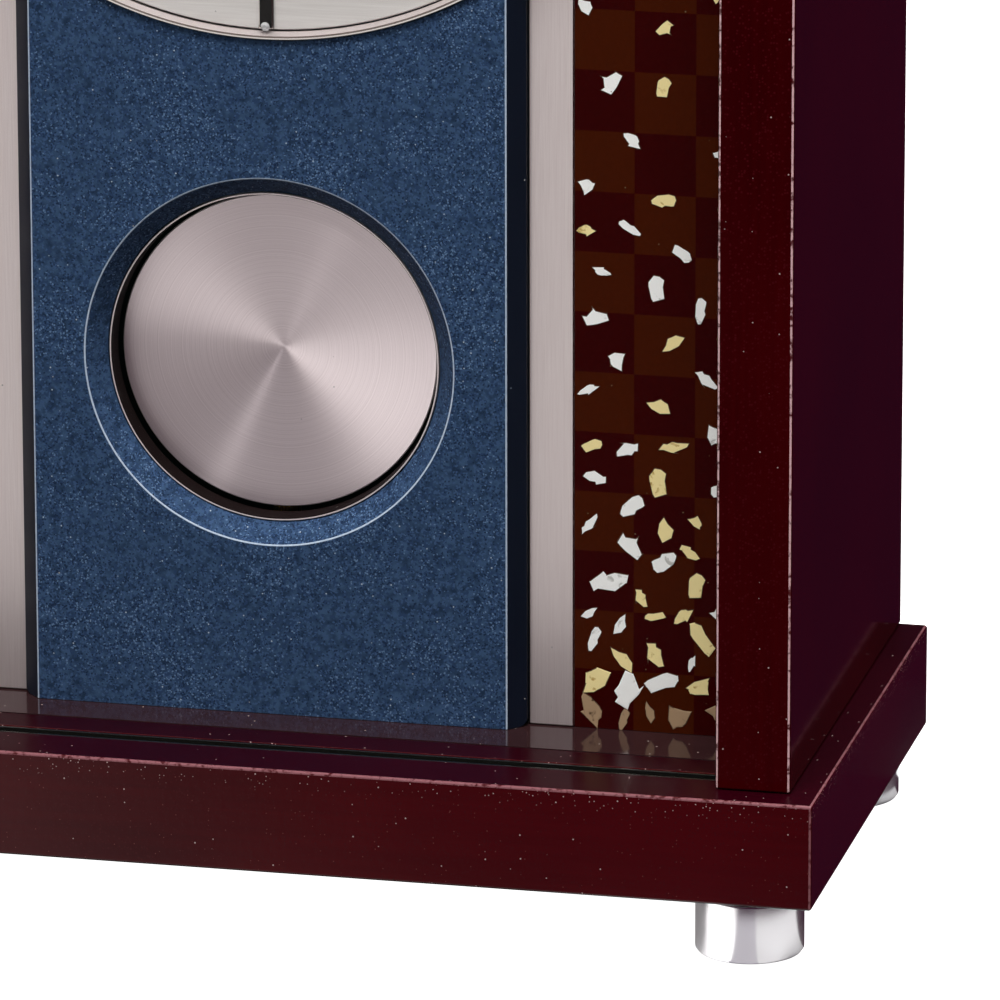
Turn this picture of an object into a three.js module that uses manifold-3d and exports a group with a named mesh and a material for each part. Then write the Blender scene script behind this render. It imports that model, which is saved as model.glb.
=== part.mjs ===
// A lacquered wooden table clock with a quartz movement and a swinging pendulum.
// Millimetres. +Z is up, the dial faces -Y, and the origin is on the surface that the
// clock stands on, under the middle of the case.

import * as THREE from 'three';
import { mergeVertices } from 'three/addons/utils/BufferGeometryUtils.js';
import { RoundedBoxGeometry } from 'three/addons/geometries/RoundedBoxGeometry.js';
import Module from 'manifold-3d';

const wasm = await Module();
wasm.setup();

// Clearances
const seat = 0.1; // between flat faces that lie on each other
const fit = 0.3; // round a piece in its groove, pocket or hole
const running = 0.25; // round a piece that turns in a bore
const overrun = 1; // how far a cutting tool reaches past the face it cuts
const pinGrip = 0.8; // how far a pin's end goes into a wall of the movement

// Plinth, top and feet
const baseWidth = 250;
const baseDepth = 132;
const baseThickness = 23;
const topThickness = 23;
const edgeRound = 0.6;
const footHeight = 14;
const footDiameter = 23;
const footSideInset = 15.5;
const footEndInset = 12.5;
const footEdge = 0.5;
const padDiameter = 17;
const padThickness = 1.6;
const padStand = 0.6;
const footStudDiameter = 6;
const footStudLength = 14;

// Case
const caseWidth = 238;
const caseHeight = 343;
const sideThickness = 16;
const frontSetback = 7;

// Front glass and its channel
const glassThickness = 2;
const glassGroove = 3;
const channelSetback = 13.2;
const channelWidth = 4;
const channelHeight = 3.4;
const channelFloor = 0.9;

// Front panels
const centreSetback = 37.2;
const centreWidth = 110.4;
const centreThickness = 6.3;
const centreChamfer = 3.6;
const centreCorner = 1.6;
const stripWidth = 9.8;
const stripThickness = 1.3;
const inlayThickness = 1;
const floorThickness = 0.8;
const floorProud = 0.1;
const floorSetback = 26.5;
const boardThickness = 4;
const boardGroove = 4;

// Pendulum opening and its ring
const openingRise = 3.75; // its centre, above the middle of the wall below the bezel
const openingRadius = 40.2;
const openingDepth = 4.5;
const ringRadius = 36;
const ringWall = 0.8;
const ringLength = 4.5;

// Dial
const dialMargin = 14.5; // from the bezel to the top of the case
const dialSideMargin = 13; // from the bezel to each side of the case
const bezelProud = 1;
const bezelWidth = 2.25;
const bezelLand = 0.4;
const bezelEdge = 0.5;
const bezelDrop = 1.6;
const bezelWall = 1.4;
const dialGap = 0.35;
const dialThickness = 0.8;
const backerThickness = 3;
const markerWidth = 3.2;
const markerLength = 15;
const quarterMarkerLength = 22;
const markerThickness = 0.9;
const markerEdge = 0.3;
const studRadius = 0.9;
const studHeight = 1.1;
const stoneSides = 6;
const hoursOnDial = 12;

// Hands
const minuteInset = 13; // from the hand's tip to the bezel's rim
const minuteTail = 19;
const hourInset = 37;
const hourTail = 15;
const handWidth = 5.4;
const handTipWidth = 2.4;
const handThickness = 0.6;
const handHubRadius = 5;
const handTailShare = 0.6; // a tail's width at its end, over the hand's
const handShoulderShare = 0.5; // where the taper starts, over the reach
const handSpacing = 0.9;
const capRadius = 3.4;
const capHeight = 2.2;
const minuteHandDegrees = 60;
const hourHandDegrees = 305;

// Movement
const movementWidth = 58;
const movementDepth = 17;
const movementWall = 1.6;
const gearBayAbove = 18.4;
const gearBayBelow = 15;
const driveBayHeight = 40;
const coverThickness = 1.5;
const washerThickness = 0.6;
const washerRadius = 9;
const bushRadius = 4;
const bushFlange = 6;
const bushFlangeThickness = 1;
const nutAcross = 11;
const nutThickness = 2;
const nutSides = 6;
const hourPipeWall = 0.8;
const minuteShaftRadius = 1.2;
const wheelThickness = 1;
const pinionThickness = 1.5;
const wheelGap = 1;
const cannonTeeth = 12;
const minuteWheelTeeth = 36;
const pinionTeeth = 10;
const hourWheelTeeth = 40;
const cannonModule = 0.4;
const addendumShare = 0.75;
const dedendumShare = 1.1;
const toothRootShare = 0.26;
const toothTipShare = 0.12;
const settingShaftRadius = 1;
const knobRadius = 7;
const knobHeight = 4.5;
const knobRibs = 24;
const knobRibDepth = 0.4;
const coilRadius = 4;
const coilLength = 15;
const coreRadius = 1.4;
const coreOverhang = 3;
const coilOffset = 19;
const batteryRadius = 7.1;
const batteryLength = 49;
const batteryNub = 1.3;
const batteryNubRadius = 2.7;
const contactThickness = 0.5;
const contactWidth = 9;
const contactSpring = 1.1;

// Pendulum
const pivotDrop = 22;
const pivotRadius = 0.8;
const hubRadius = 3;
const hubLength = 6;
const hangerWidth = 6;
const hangerLength = 43;
const hangerThickness = 2;
const pegRadius = 0.9;
const magnetSize = 8;
const magnetThickness = 1.6;
const driveCoilRadius = 8;
const driveCoilBore = 2.5;
const driveCoilHeight = 3.2;
const swingDegrees = 5;
const bobRadius = 34.4;
const bobDish = 4;
const bobThickness = 1;
const bobGap = 1;
const bobBossRadius = 7;
const rodWidth = 4;
const rodThickness = 0.8;
const rodEyeRadius = 4;
const studLength = 8;
const ratingNutRadius = 3;
const ratingNutHeight = 3.6;
const ratingNutRibs = 16;
const ratingNutGap = 0.6;
const windowMargin = 2.5;
const windowCorner = 12;

// Back
const backRecess = 9;
const backThickness = 3;
const backRebate = 6;
const backScrewInset = 14;
const backScrewsPerSide = 4;
const screwHeadRadius = 3;
const screwHeadHeight = 1.8;
const screwShankRadius = 1.4;
const screwLength = 12;
const accessWidth = 110;
const accessHeight = 140;
const accessCorner = 1.2;
const accessDrop = 7.5; // its middle, below the dial's centre
const doorLap = 6;
const doorThickness = 3;
const doorGap = 0.3;
const knuckleRadius = 2;
const hingePinRadius = 0.6;
const hingeHeight = 24;
const hingeLeafWidth = 11;
const hingeLeafThickness = 0.8;
const hingeInset = 18;
const knuckleCount = 3;
const doorKnobRadius = 5;
const doorKnobNeck = 2.6;
const doorKnobHeight = 5;
const doorKnobInset = 9;
const catchWidth = 6;
const catchHeight = 18;
const catchDepth = 7;
const strikeWidth = 8;
const strikeThickness = 1;

// Levels and planes that the sizes above give
const frontY = -baseDepth / 2;
const backY = baseDepth / 2;
const baseTop = footHeight + baseThickness;
const caseTop = baseTop + caseHeight;
const innerHalf = caseWidth / 2 - sideThickness;
const caseFrontY = frontY + frontSetback;
const glassY = frontY + channelSetback + fit + channelWidth / 2;
const centreFrontY = frontY + centreSetback;
const boardFrontY = centreFrontY + centreThickness + seat;
const boardBackY = boardFrontY + boardThickness;
const stripFrontY = boardFrontY - seat - stripThickness;
const floorTop = baseTop + floorProud;
const floorLow = floorTop - floorThickness;
const panelBottom = floorTop + seat;
const panelTop = caseTop - seat;
const bezelRadius = innerHalf - dialSideMargin;
const dialZ = caseTop - dialMargin - bezelRadius;
const openingZ = (baseTop + dialZ - bezelRadius) / 2 + openingRise;
const minuteReach = bezelRadius - minuteInset;
const hourReach = bezelRadius - hourInset;
const ringFrontY = centreFrontY + openingDepth;
const ringBackY = ringFrontY + ringLength;
const bezelBackY = stripFrontY - seat;
const bezelFrontY = centreFrontY - bezelProud;
const backerFrontY = bezelBackY - backerThickness;
const dialFrontY = backerFrontY - seat - dialThickness;
const dialRadius = bezelRadius - bezelWidth - dialGap;
const movementFrontY = boardBackY + seat + washerThickness + seat;
const movementBackY = movementFrontY + movementDepth;
const coverFrontY = movementBackY - coverThickness;
const bayFrontY = movementFrontY + movementWall;
const pivotZ = dialZ - pivotDrop;
const pendulumLength = pivotZ - openingZ;
const bobFrontY = ringBackY + bobGap;
const bobBackY = bobFrontY + bobDish + bobThickness;
const rodFrontY = bobBackY + fit;
const rodBackY = rodFrontY + rodThickness;
const hangerFrontY = rodBackY + 2 * fit;
const hangerBackY = hangerFrontY + hangerThickness;
const swing = THREE.MathUtils.degToRad(swingDegrees);
const backOuterY = backY - backRecess;
const backInnerY = backOuterY - backThickness;
const accessZ = dialZ - accessDrop;
const doorInnerY = backOuterY + doorGap;
const doorOuterY = doorInnerY + doorThickness;
const doorHalf = accessWidth / 2 + doorLap;
const hingeX = doorHalf + fit + knuckleRadius;
const hingeY = doorInnerY + knuckleRadius;

// How finely round shapes are stepped: fewer sides on small ones
const sidesLarge = 60;
const sidesMedium = 24;
const sidesSmall = 10;
const cornerSteps = 4;
const edgeSteps = 1;

// Finishes
function finish(color, roughness, metalness) {
  return { color, roughness, metalness };
}

const lacquer = finish(0x3a0a12, 0.25, 0);
const blackPaint = finish(0x1b1a1a, 0.6, 0);
const blueStone = finish(0x2f4a72, 0.55, 0);
const satinSteel = finish(0xc2bebb, 0.35, 1);
const polishedSteel = finish(0xe6e6e6, 0.12, 1);
const brass = finish(0xb08d4a, 0.3, 1);
const inlayLacquer = finish(0x33100a, 0.2, 0);
const dialSilver = finish(0xcfcac5, 0.4, 0.3);
const glossBlack = finish(0x0d0c0c, 0.15, 0);
const clearGlass = finish(0xdfe8e6, 0.05, 0);
const rubberBlack = finish(0x161616, 0.8, 0);
const mouldedBlack = finish(0x26272a, 0.5, 0);
const mouldedWhite = finish(0xe3e0d6, 0.5, 0);
const copper = finish(0xa85a2c, 0.4, 1);
const magnetGrey = finish(0x55565a, 0.5, 0.6);

// Geometry helpers

// Leaves only positions and joins equal points, so that the mesh is closed.
function closed(geometry) {
  geometry.deleteAttribute('normal');
  geometry.deleteAttribute('uv');
  return mergeVertices(geometry);
}

function toSolid(geometry) {
  const mesh = closed(geometry.clone());
  const vertProperties = new Float32Array(mesh.attributes.position.array);
  const triVerts = new Uint32Array(mesh.index.array);
  return new wasm.Manifold(new wasm.Mesh({ numProp: 3, vertProperties, triVerts }));
}

function fromSolid(solid) {
  const mesh = solid.getMesh();
  const geometry = new THREE.BufferGeometry();
  geometry.setAttribute('position', new THREE.BufferAttribute(mesh.vertProperties, 3));
  geometry.setIndex(new THREE.BufferAttribute(mesh.triVerts, 1));
  return geometry;
}

function cut(geometry, ...tools) {
  let solid = toSolid(geometry);
  for (const tool of tools) {
    solid = solid.subtract(toSolid(tool));
  }
  return fromSolid(solid);
}

function join(geometry, ...others) {
  let solid = toSolid(geometry);
  for (const other of others) {
    solid = solid.add(toSolid(other));
  }
  return fromSolid(solid);
}

function box(x0, x1, y0, y1, z0, z1) {
  const geometry = new THREE.BoxGeometry(x1 - x0, y1 - y0, z1 - z0);
  return geometry.translate((x0 + x1) / 2, (y0 + y1) / 2, (z0 + z1) / 2);
}

// A board with slightly rounded edges.
function board(x0, x1, y0, y1, z0, z1) {
  const geometry = new RoundedBoxGeometry(x1 - x0, y1 - y0, z1 - z0, edgeSteps, edgeRound);
  return geometry.translate((x0 + x1) / 2, (y0 + y1) / 2, (z0 + z1) / 2);
}

// Turns a closed profile of [radius, y] points about the Y axis.
function turnedY(profile, sides) {
  let area = 0;
  profile.forEach(([r, y], i) => {
    const [nextR, nextY] = profile[(i + 1) % profile.length];
    area += r * nextY - nextR * y;
  });
  const points = profile.map(([r, y]) => new THREE.Vector2(r, y));
  if (area < 0) {
    points.reverse();
  }
  const first = points.findIndex((p, i) => {
    const before = points[(i + points.length - 1) % points.length];
    return p.x === 0 && before.x === 0;
  });
  const start = Math.max(first, 0);
  const ordered = [...points.slice(start), ...points.slice(0, start)];
  if (first < 0) {
    ordered.push(ordered[0].clone());
  }
  return closed(new THREE.LatheGeometry(ordered, sides));
}

// The same, about the Z axis, from [radius, z] points.
function turnedZ(profile, sides) {
  return turnedY(profile, sides).rotateX(Math.PI / 2);
}

function rodY(radius, y0, y1, sides = sidesSmall) {
  return turnedY([[0, y0], [radius, y0], [radius, y1], [0, y1]], sides);
}

function rodZ(radius, z0, z1, sides = sidesSmall) {
  return turnedZ([[0, z0], [radius, z0], [radius, z1], [0, z1]], sides);
}

function rodX(radius, x0, x1, sides = sidesSmall) {
  return rodY(radius, x0, x1, sides).rotateZ(-Math.PI / 2);
}

function tubeY(outer, inner, y0, y1, sides = sidesSmall) {
  return turnedY([[inner, y0], [outer, y0], [outer, y1], [inner, y1]], sides);
}

// A flat piece cut from an outline in X and Z, from y0 back to y1.
function plate(outline, y0, y1) {
  const shape = outline instanceof THREE.Shape ? outline : new THREE.Shape(outline);
  const geometry = new THREE.ExtrudeGeometry(shape, { depth: y1 - y0, bevelEnabled: false });
  return closed(geometry.rotateX(Math.PI / 2).translate(0, y1, 0));
}

function roundedRectangle(halfWidth, z0, z1, corner) {
  const shape = new THREE.Shape();
  shape.moveTo(-halfWidth + corner, z0);
  shape.lineTo(halfWidth - corner, z0);
  shape.absarc(halfWidth - corner, z0 + corner, corner, -Math.PI / 2, 0);
  shape.absarc(halfWidth - corner, z1 - corner, corner, 0, Math.PI / 2);
  shape.absarc(-halfWidth + corner, z1 - corner, corner, Math.PI / 2, Math.PI);
  shape.absarc(-halfWidth + corner, z0 + corner, corner, Math.PI, 1.5 * Math.PI);
  return new THREE.Shape(shape.getPoints(cornerSteps));
}

// A toothed outline: gear teeth or the ribs of a knob.
function toothedOutline(count, rootRadius, tipRadius, rootShare, tipShare, turn) {
  const points = [];
  const pitch = (2 * Math.PI) / count;
  for (let i = 0; i < count; i += 1) {
    const middle = turn + i * pitch;
    for (const [radius, share] of [
      [rootRadius, -rootShare],
      [tipRadius, -tipShare],
      [tipRadius, tipShare],
      [rootRadius, rootShare],
    ]) {
      const angle = middle + share * pitch;
      points.push(new THREE.Vector2(radius * Math.cos(angle), radius * Math.sin(angle)));
    }
  }
  return points;
}

function gear(teeth, toothModule, y0, y1, turn = 0) {
  const pitchRadius = (teeth * toothModule) / 2;
  const root = pitchRadius - dedendumShare * toothModule;
  const tip = pitchRadius + addendumShare * toothModule;
  return plate(toothedOutline(teeth, root, tip, toothRootShare, toothTipShare, turn), y0, y1);
}

// A countersunk hole for a wood screw, its mouth at y.
function countersinkY(y, depth) {
  const wide = screwHeadRadius + fit;
  const narrow = screwShankRadius + fit;
  return turnedY(
    [
      [0, y - depth],
      [narrow, y - depth],
      [narrow, y - screwHeadHeight],
      [wide, y],
      [wide, y + overrun],
      [0, y + overrun],
    ],
    sidesSmall
  );
}

const group = new THREE.Group();

// Adds one named piece.
function add(parent, name, geometry, look) {
  const mesh = new THREE.Mesh(closed(geometry), new THREE.MeshStandardMaterial(look));
  mesh.geometry.computeVertexNormals();
  mesh.name = name;
  parent.add(mesh);
  return mesh;
}

function at(x, y, z) {
  const place = new THREE.Group();
  place.position.set(x, y, z);
  group.add(place);
  return place;
}

const footPlaces = [
  ['front_left', -1, -1],
  ['front_right', 1, -1],
  ['back_left', -1, 1],
  ['back_right', 1, 1],
].map(([corner, side, end]) => ({
  corner,
  x: side * (baseWidth / 2 - footSideInset),
  y: end * (baseDepth / 2 - footEndInset),
}));

// Plinth with the channel's groove, the floor plate's recess and the holes that the feet's
// studs screw into.
const floorFrontY = frontY + floorSetback;
const floorBackY = boardFrontY - seat;

function plinth() {
  const groove = box(
    -innerHalf,
    innerHalf,
    frontY + channelSetback,
    frontY + channelSetback + channelWidth + 2 * fit,
    baseTop - channelHeight - fit,
    baseTop + overrun
  );
  const recess = box(
    -innerHalf,
    innerHalf,
    floorFrontY - fit,
    floorBackY + fit,
    floorLow - seat,
    baseTop + overrun
  );
  const holes = footPlaces.map(({ x, y }) => {
    const top = footHeight + footStudLength + fit;
    return rodZ(footStudDiameter / 2 + fit, footHeight - overrun, top).translate(x, y, 0);
  });
  const body = board(
    -baseWidth / 2,
    baseWidth / 2,
    frontY,
    backY,
    footHeight,
    baseTop
  );
  return cut(body, groove, recess, ...holes);
}

function topBoard() {
  const groove = box(
    -innerHalf,
    innerHalf,
    glassY - glassThickness / 2 - fit,
    glassY + glassThickness / 2 + fit,
    caseTop - overrun,
    caseTop + glassGroove
  );
  const body = board(
    -baseWidth / 2,
    baseWidth / 2,
    frontY,
    backY,
    caseTop,
    caseTop + topThickness
  );
  return cut(body, groove);
}

// A foot is turned from one bar: a polished cylinder with a threaded stud on top and a
// pocket underneath for its pad.
function foot() {
  const radius = footDiameter / 2;
  const top = footHeight - seat;
  const pocket = padThickness + seat;
  const stud = footStudDiameter / 2;
  return turnedZ(
    [
      [0, pocket],
      [padDiameter / 2 + fit, pocket],
      [padDiameter / 2 + fit, padStand],
      [radius - footEdge, padStand],
      [radius, padStand + footEdge],
      [radius, top],
      [stud, top],
      [stud, footHeight + footStudLength],
      [0, footHeight + footStudLength],
    ],
    sidesMedium
  );
}

add(group, 'base_plinth', plinth(), lacquer);
add(group, 'top_board', topBoard(), lacquer);
for (const { corner, x, y } of footPlaces) {
  add(group, `foot_${corner}`, foot(), polishedSteel).position.set(x, y, 0);
  const pad = rodZ(padDiameter / 2, 0, padThickness, sidesMedium);
  add(group, `foot_pad_${corner}`, pad, rubberBlack).position.set(x, y, 0);
}

// Places of the screws that hold the back panel in the side panels' rebates.
const backScrewX = innerHalf + backRebate / 2;
const backScrewZs = [];
for (let i = 0; i < backScrewsPerSide; i += 1) {
  const span = caseHeight - 2 * backScrewInset;
  backScrewZs.push(baseTop + backScrewInset + (span * i) / (backScrewsPerSide - 1));
}
const backScrewPlaces = [-backScrewX, backScrewX].flatMap((x) =>
  backScrewZs.map((z) => [x, z])
);

// A side panel, grooved for the glass and the board and rebated for the back panel.
function sidePanel(side) {
  const inner = side * innerHalf;
  const outer = (side * caseWidth) / 2;
  const low = baseTop + seat;
  const high = caseTop - seat;
  const slot = (depth, y0, y1) => {
    const deep = inner + side * depth;
    const open = inner - side * overrun;
    const x0 = Math.min(deep, open);
    const x1 = Math.max(deep, open);
    return box(x0, x1, y0, y1, low - overrun, high + overrun);
  };
  const halfGlass = glassThickness / 2 + fit;
  const body = board(
    Math.min(inner, outer),
    Math.max(inner, outer),
    caseFrontY,
    backY,
    low,
    high
  );
  const pilots = backScrewPlaces
    .filter(([x]) => x * side > 0)
    .map(([x, z]) => {
      const hole = rodY(
        screwShankRadius,
        backOuterY - screwLength,
        backInnerY
      );
      return hole.translate(x, 0, z);
    });
  return cut(
    body,
    slot(glassGroove, glassY - halfGlass, glassY + halfGlass),
    slot(boardGroove, boardFrontY - fit, boardBackY + fit),
    slot(backRebate, backInnerY - fit, backY + overrun),
    ...pilots
  );
}

add(group, 'left_side_panel', sidePanel(-1), lacquer);
add(group, 'right_side_panel', sidePanel(1), lacquer);

// Back panel with the opening behind the movement.
const backHalf = innerHalf + backRebate - fit;

function backPanel() {
  const low = baseTop + seat;
  const high = caseTop - seat;
  const opening = plate(
    roundedRectangle(
      accessWidth / 2,
      accessZ - accessHeight / 2,
      accessZ + accessHeight / 2,
      accessCorner
    ),
    backInnerY - overrun,
    backOuterY + overrun
  );
  const holes = backScrewPlaces.map(([x, z]) =>
    countersinkY(backOuterY, backThickness + overrun).translate(x, 0, z)
  );
  return cut(box(-backHalf, backHalf, backInnerY, backOuterY, low, high), opening, ...holes);
}

add(group, 'back_panel', backPanel(), blackPaint);

// Back door, its knob and its magnetic catch.
const catchX = -accessWidth / 2 + fit + catchWidth / 2;

function door() {
  const half = accessHeight / 2 + doorLap;
  const body = board(
    -doorHalf,
    doorHalf,
    doorInnerY,
    doorOuterY,
    accessZ - half,
    accessZ + half
  );
  const pocket = box(
    catchX - strikeWidth / 2 - fit,
    catchX + strikeWidth / 2 + fit,
    doorInnerY - overrun,
    doorInnerY + strikeThickness + seat,
    accessZ - catchHeight / 2 - fit,
    accessZ + catchHeight / 2 + fit
  );
  return cut(body, pocket);
}

function doorKnob() {
  const y0 = doorOuterY + seat;
  const y1 = y0 + doorKnobHeight;
  const flare = doorKnobHeight / 2;
  return turnedY(
    [
      [0, y0],
      [doorKnobNeck, y0],
      [doorKnobNeck, y0 + flare / 2],
      [doorKnobRadius, y0 + flare],
      [doorKnobRadius, y1 - flare / 2],
      [doorKnobNeck, y1],
      [0, y1],
    ],
    sidesMedium
  );
}

add(group, 'back_door', door(), blackPaint);
add(group, 'door_knob', doorKnob(), brass).position.set(-doorHalf + doorKnobInset, 0, accessZ);
add(
  group,
  'door_catch_magnet',
  box(
    catchX - catchWidth / 2,
    catchX + catchWidth / 2,
    backOuterY - catchDepth,
    backOuterY,
    accessZ - catchHeight / 2,
    accessZ + catchHeight / 2
  ),
  magnetGrey
);
add(
  group,
  'door_strike_plate',
  box(
    catchX - strikeWidth / 2,
    catchX + strikeWidth / 2,
    doorInnerY,
    doorInnerY + strikeThickness,
    accessZ - catchHeight / 2,
    accessZ + catchHeight / 2
  ),
  satinSteel
);

// Hinges: each has a case leaf, a door leaf and a pin, about the hinge's axis.
const hingeReach = accessHeight / 2 + doorLap - hingeInset;
const hinges = [
  ['lower', accessZ - hingeReach],
  ['upper', accessZ + hingeReach],
];
const knuckleHeight = (hingeHeight - (knuckleCount - 1) * fit) / knuckleCount;

function knuckleSpan(index) {
  const low = -hingeHeight / 2 + index * (knuckleHeight + fit);
  return [low, low + knuckleHeight];
}

function knuckle(index) {
  const [low, high] = knuckleSpan(index);
  return turnedZ(
    [
      [hingePinRadius + running, low],
      [knuckleRadius, low],
      [knuckleRadius, high],
      [hingePinRadius + running, high],
    ],
    sidesSmall
  );
}

// Leaf geometry about the hinge axis; the outer knuckles are the case's.
function caseLeaf() {
  const y0 = backOuterY + seat - hingeY;
  const leaf = box(
    0,
    hingeLeafWidth,
    y0,
    y0 + hingeLeafThickness,
    -hingeHeight / 2,
    hingeHeight / 2
  );
  const [low, high] = knuckleSpan(1);
  const notch = box(
    -overrun,
    knuckleRadius + fit,
    y0 - overrun,
    knuckleRadius,
    low - fit,
    high + fit
  );
  const bore = rodZ(hingePinRadius + running, -hingeHeight, hingeHeight);
  return cut(join(leaf, knuckle(0), knuckle(2)), notch, bore);
}

function doorLeaf() {
  const y0 = doorOuterY + seat - hingeY;
  const [low, high] = knuckleSpan(1);
  const leaf = box(
    -hingeLeafWidth,
    -knuckleRadius - fit,
    y0,
    y0 + hingeLeafThickness,
    -hingeHeight / 2,
    hingeHeight / 2
  );
  const neck = box(-knuckleRadius - 2 * fit, 0, y0, y0 + hingeLeafThickness, low, high);
  const bore = rodZ(hingePinRadius + running, -hingeHeight, hingeHeight);
  return cut(join(leaf, neck, knuckle(1)), bore);
}

for (const [word, z] of hinges) {
  const hinge = at(hingeX, hingeY, z);
  const pin = rodZ(hingePinRadius, -hingeHeight / 2, hingeHeight / 2);
  add(hinge, `${word}_hinge_case_leaf`, caseLeaf(), brass);
  add(hinge, `${word}_hinge_door_leaf`, doorLeaf(), brass);
  add(hinge, `${word}_hinge_pin`, pin, satinSteel);
}

// Front glass in its grooves, and the channel under it.
const channelTop = baseTop - seat;
const channelBottom = channelTop - channelHeight;

function glassChannel() {
  const half = innerHalf - fit;
  const body = box(
    -half,
    half,
    glassY - channelWidth / 2,
    glassY + channelWidth / 2,
    channelBottom,
    channelTop
  );
  const slot = box(
    -half - overrun,
    half + overrun,
    glassY - glassThickness / 2 - fit,
    glassY + glassThickness / 2 + fit,
    channelBottom + channelFloor,
    channelTop + overrun
  );
  return cut(body, slot);
}

// The pane's corners are notched, so that it fits the channel and the top board's groove
// between the sides.
function frontGlass() {
  const half = innerHalf + glassGroove - fit;
  const y0 = glassY - glassThickness / 2;
  const y1 = glassY + glassThickness / 2;
  const low = baseTop + seat + fit;
  const pane = box(-half, half, y0, y1, low, caseTop - seat - fit);
  const tongue = innerHalf - fit;
  return join(
    pane,
    box(-tongue, tongue, y0, y1, channelBottom + channelFloor + fit, low + overrun),
    box(-tongue, tongue, y0, y1, caseTop - overrun, caseTop + glassGroove - fit)
  );
}

add(group, 'glass_channel', glassChannel(), rubberBlack);
add(group, 'front_glass', frontGlass(), clearGlass);
add(
  group,
  'floor_plate',
  box(-innerHalf + fit, innerHalf - fit, floorFrontY, floorBackY, floorLow, floorTop),
  glossBlack
);

// Upright board that carries the front panels, the dial and the movement.
const bobTravel = pendulumLength * Math.sin(swing);
const windowHalf = bobRadius + bobTravel + windowMargin;
const windowBelow = bobRadius + ratingNutGap + ratingNutHeight + 2 * windowMargin;
const windowAbove = bobRadius + 2 * windowMargin;

function backingBoard() {
  const half = innerHalf + boardGroove - fit;
  const body = box(-half, half, boardFrontY, boardBackY, baseTop + seat, caseTop - seat);
  const window = plate(
    roundedRectangle(windowHalf, openingZ - windowBelow, openingZ + windowAbove, windowCorner),
    boardFrontY - overrun,
    boardBackY + overrun
  );
  const shaftHole = rodY(
    bushRadius + fit,
    boardFrontY - overrun,
    boardBackY + overrun
  ).translate(0, 0, dialZ);
  return cut(body, window, shaftHole);
}

add(group, 'backing_board', backingBoard(), blackPaint);

// Side strips and inlay panels, glued to the board either side of the centre panel.
const stripInner = centreWidth / 2 + seat;
const stripOuter = stripInner + stripWidth;
for (const [word, side] of [['left', -1], ['right', 1]]) {
  const spread = (near, far) => [side * near, side * far].sort((a, b) => a - b);
  const [stripX0, stripX1] = spread(stripInner, stripOuter);
  const [inlayX0, inlayX1] = spread(stripOuter + seat, innerHalf - seat);
  add(
    group,
    `${word}_metal_strip`,
    box(stripX0, stripX1, stripFrontY, boardFrontY - seat, panelBottom, panelTop),
    satinSteel
  );
  add(
    group,
    `${word}_inlay_panel`,
    box(
      inlayX0,
      inlayX1,
      boardFrontY - seat - inlayThickness,
      boardFrontY - seat,
      panelBottom,
      panelTop
    ),
    inlayLacquer
  );
}

// Centre panel: chamfered upright edges, a conical opening for the pendulum and a round
// seat for the dial.
function centrePanel() {
  const half = centreWidth / 2;
  const backEdgeY = centreFrontY + centreThickness;
  const section = new THREE.Shape([
    new THREE.Vector2(-half, backEdgeY),
    new THREE.Vector2(-half, centreFrontY + centreChamfer),
    new THREE.Vector2(-half + centreChamfer, centreFrontY),
    new THREE.Vector2(half - centreChamfer, centreFrontY),
    new THREE.Vector2(half, centreFrontY + centreChamfer),
    new THREE.Vector2(half, backEdgeY),
  ]);
  const depth = panelTop - panelBottom;
  const column = new THREE.ExtrudeGeometry(section, { depth, bevelEnabled: false });
  column.translate(0, 0, panelBottom);
  const outline = plate(
    roundedRectangle(half, panelBottom, panelTop, centreCorner),
    centreFrontY - overrun,
    backEdgeY + overrun
  );
  const bore = ringRadius + fit;
  const slope = (openingRadius - bore) / openingDepth;
  const cone = turnedY(
    [
      [0, centreFrontY - overrun],
      [openingRadius + slope * overrun, centreFrontY - overrun],
      [bore, ringFrontY],
      [bore, backEdgeY + overrun],
      [0, backEdgeY + overrun],
    ],
    sidesLarge
  ).translate(0, 0, openingZ);
  const dialSeat = rodY(
    bezelRadius + fit,
    centreFrontY - overrun,
    stripFrontY,
    sidesLarge
  ).translate(0, 0, dialZ);
  const shaftHole = rodY(
    bushRadius + fit,
    centreFrontY - overrun,
    backEdgeY + overrun
  ).translate(0, 0, dialZ);
  const rounded = fromSolid(toSolid(column).intersect(toSolid(outline)));
  return cut(rounded, cone, dialSeat, shaftHole);
}

add(group, 'centre_panel', centrePanel(), blueStone);
add(
  at(0, 0, openingZ),
  'opening_ring',
  tubeY(ringRadius, ringRadius - ringWall, ringFrontY, ringBackY, sidesLarge),
  polishedSteel
);

// Dial, bezel, markers and hands, about the dial's centre.
const dial = at(0, 0, dialZ);

function dialBezel() {
  const inner = bezelRadius - bezelWidth;
  const body = bezelRadius - bezelWall;
  return turnedY(
    [
      [body, bezelBackY],
      [bezelRadius, bezelBackY],
      [bezelRadius, bezelFrontY + bezelEdge],
      [bezelRadius - bezelEdge, bezelFrontY],
      [bezelRadius - bezelEdge - bezelLand, bezelFrontY],
      [inner, bezelFrontY + bezelDrop],
      [inner, dialFrontY + dialThickness],
      [body, dialFrontY + dialThickness],
    ],
    sidesLarge
  );
}

function disc(radius, y0, y1) {
  return tubeY(radius, bushRadius + fit, y0, y1, sidesLarge);
}

// Bar markers with bevelled fronts; those at the quarters are longer. Each is let into the
// dial plate and ends under a cut stone at the dial's rim.
const markerFrontY = dialFrontY - markerThickness;
const studFrontY = markerFrontY - studHeight;

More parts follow.
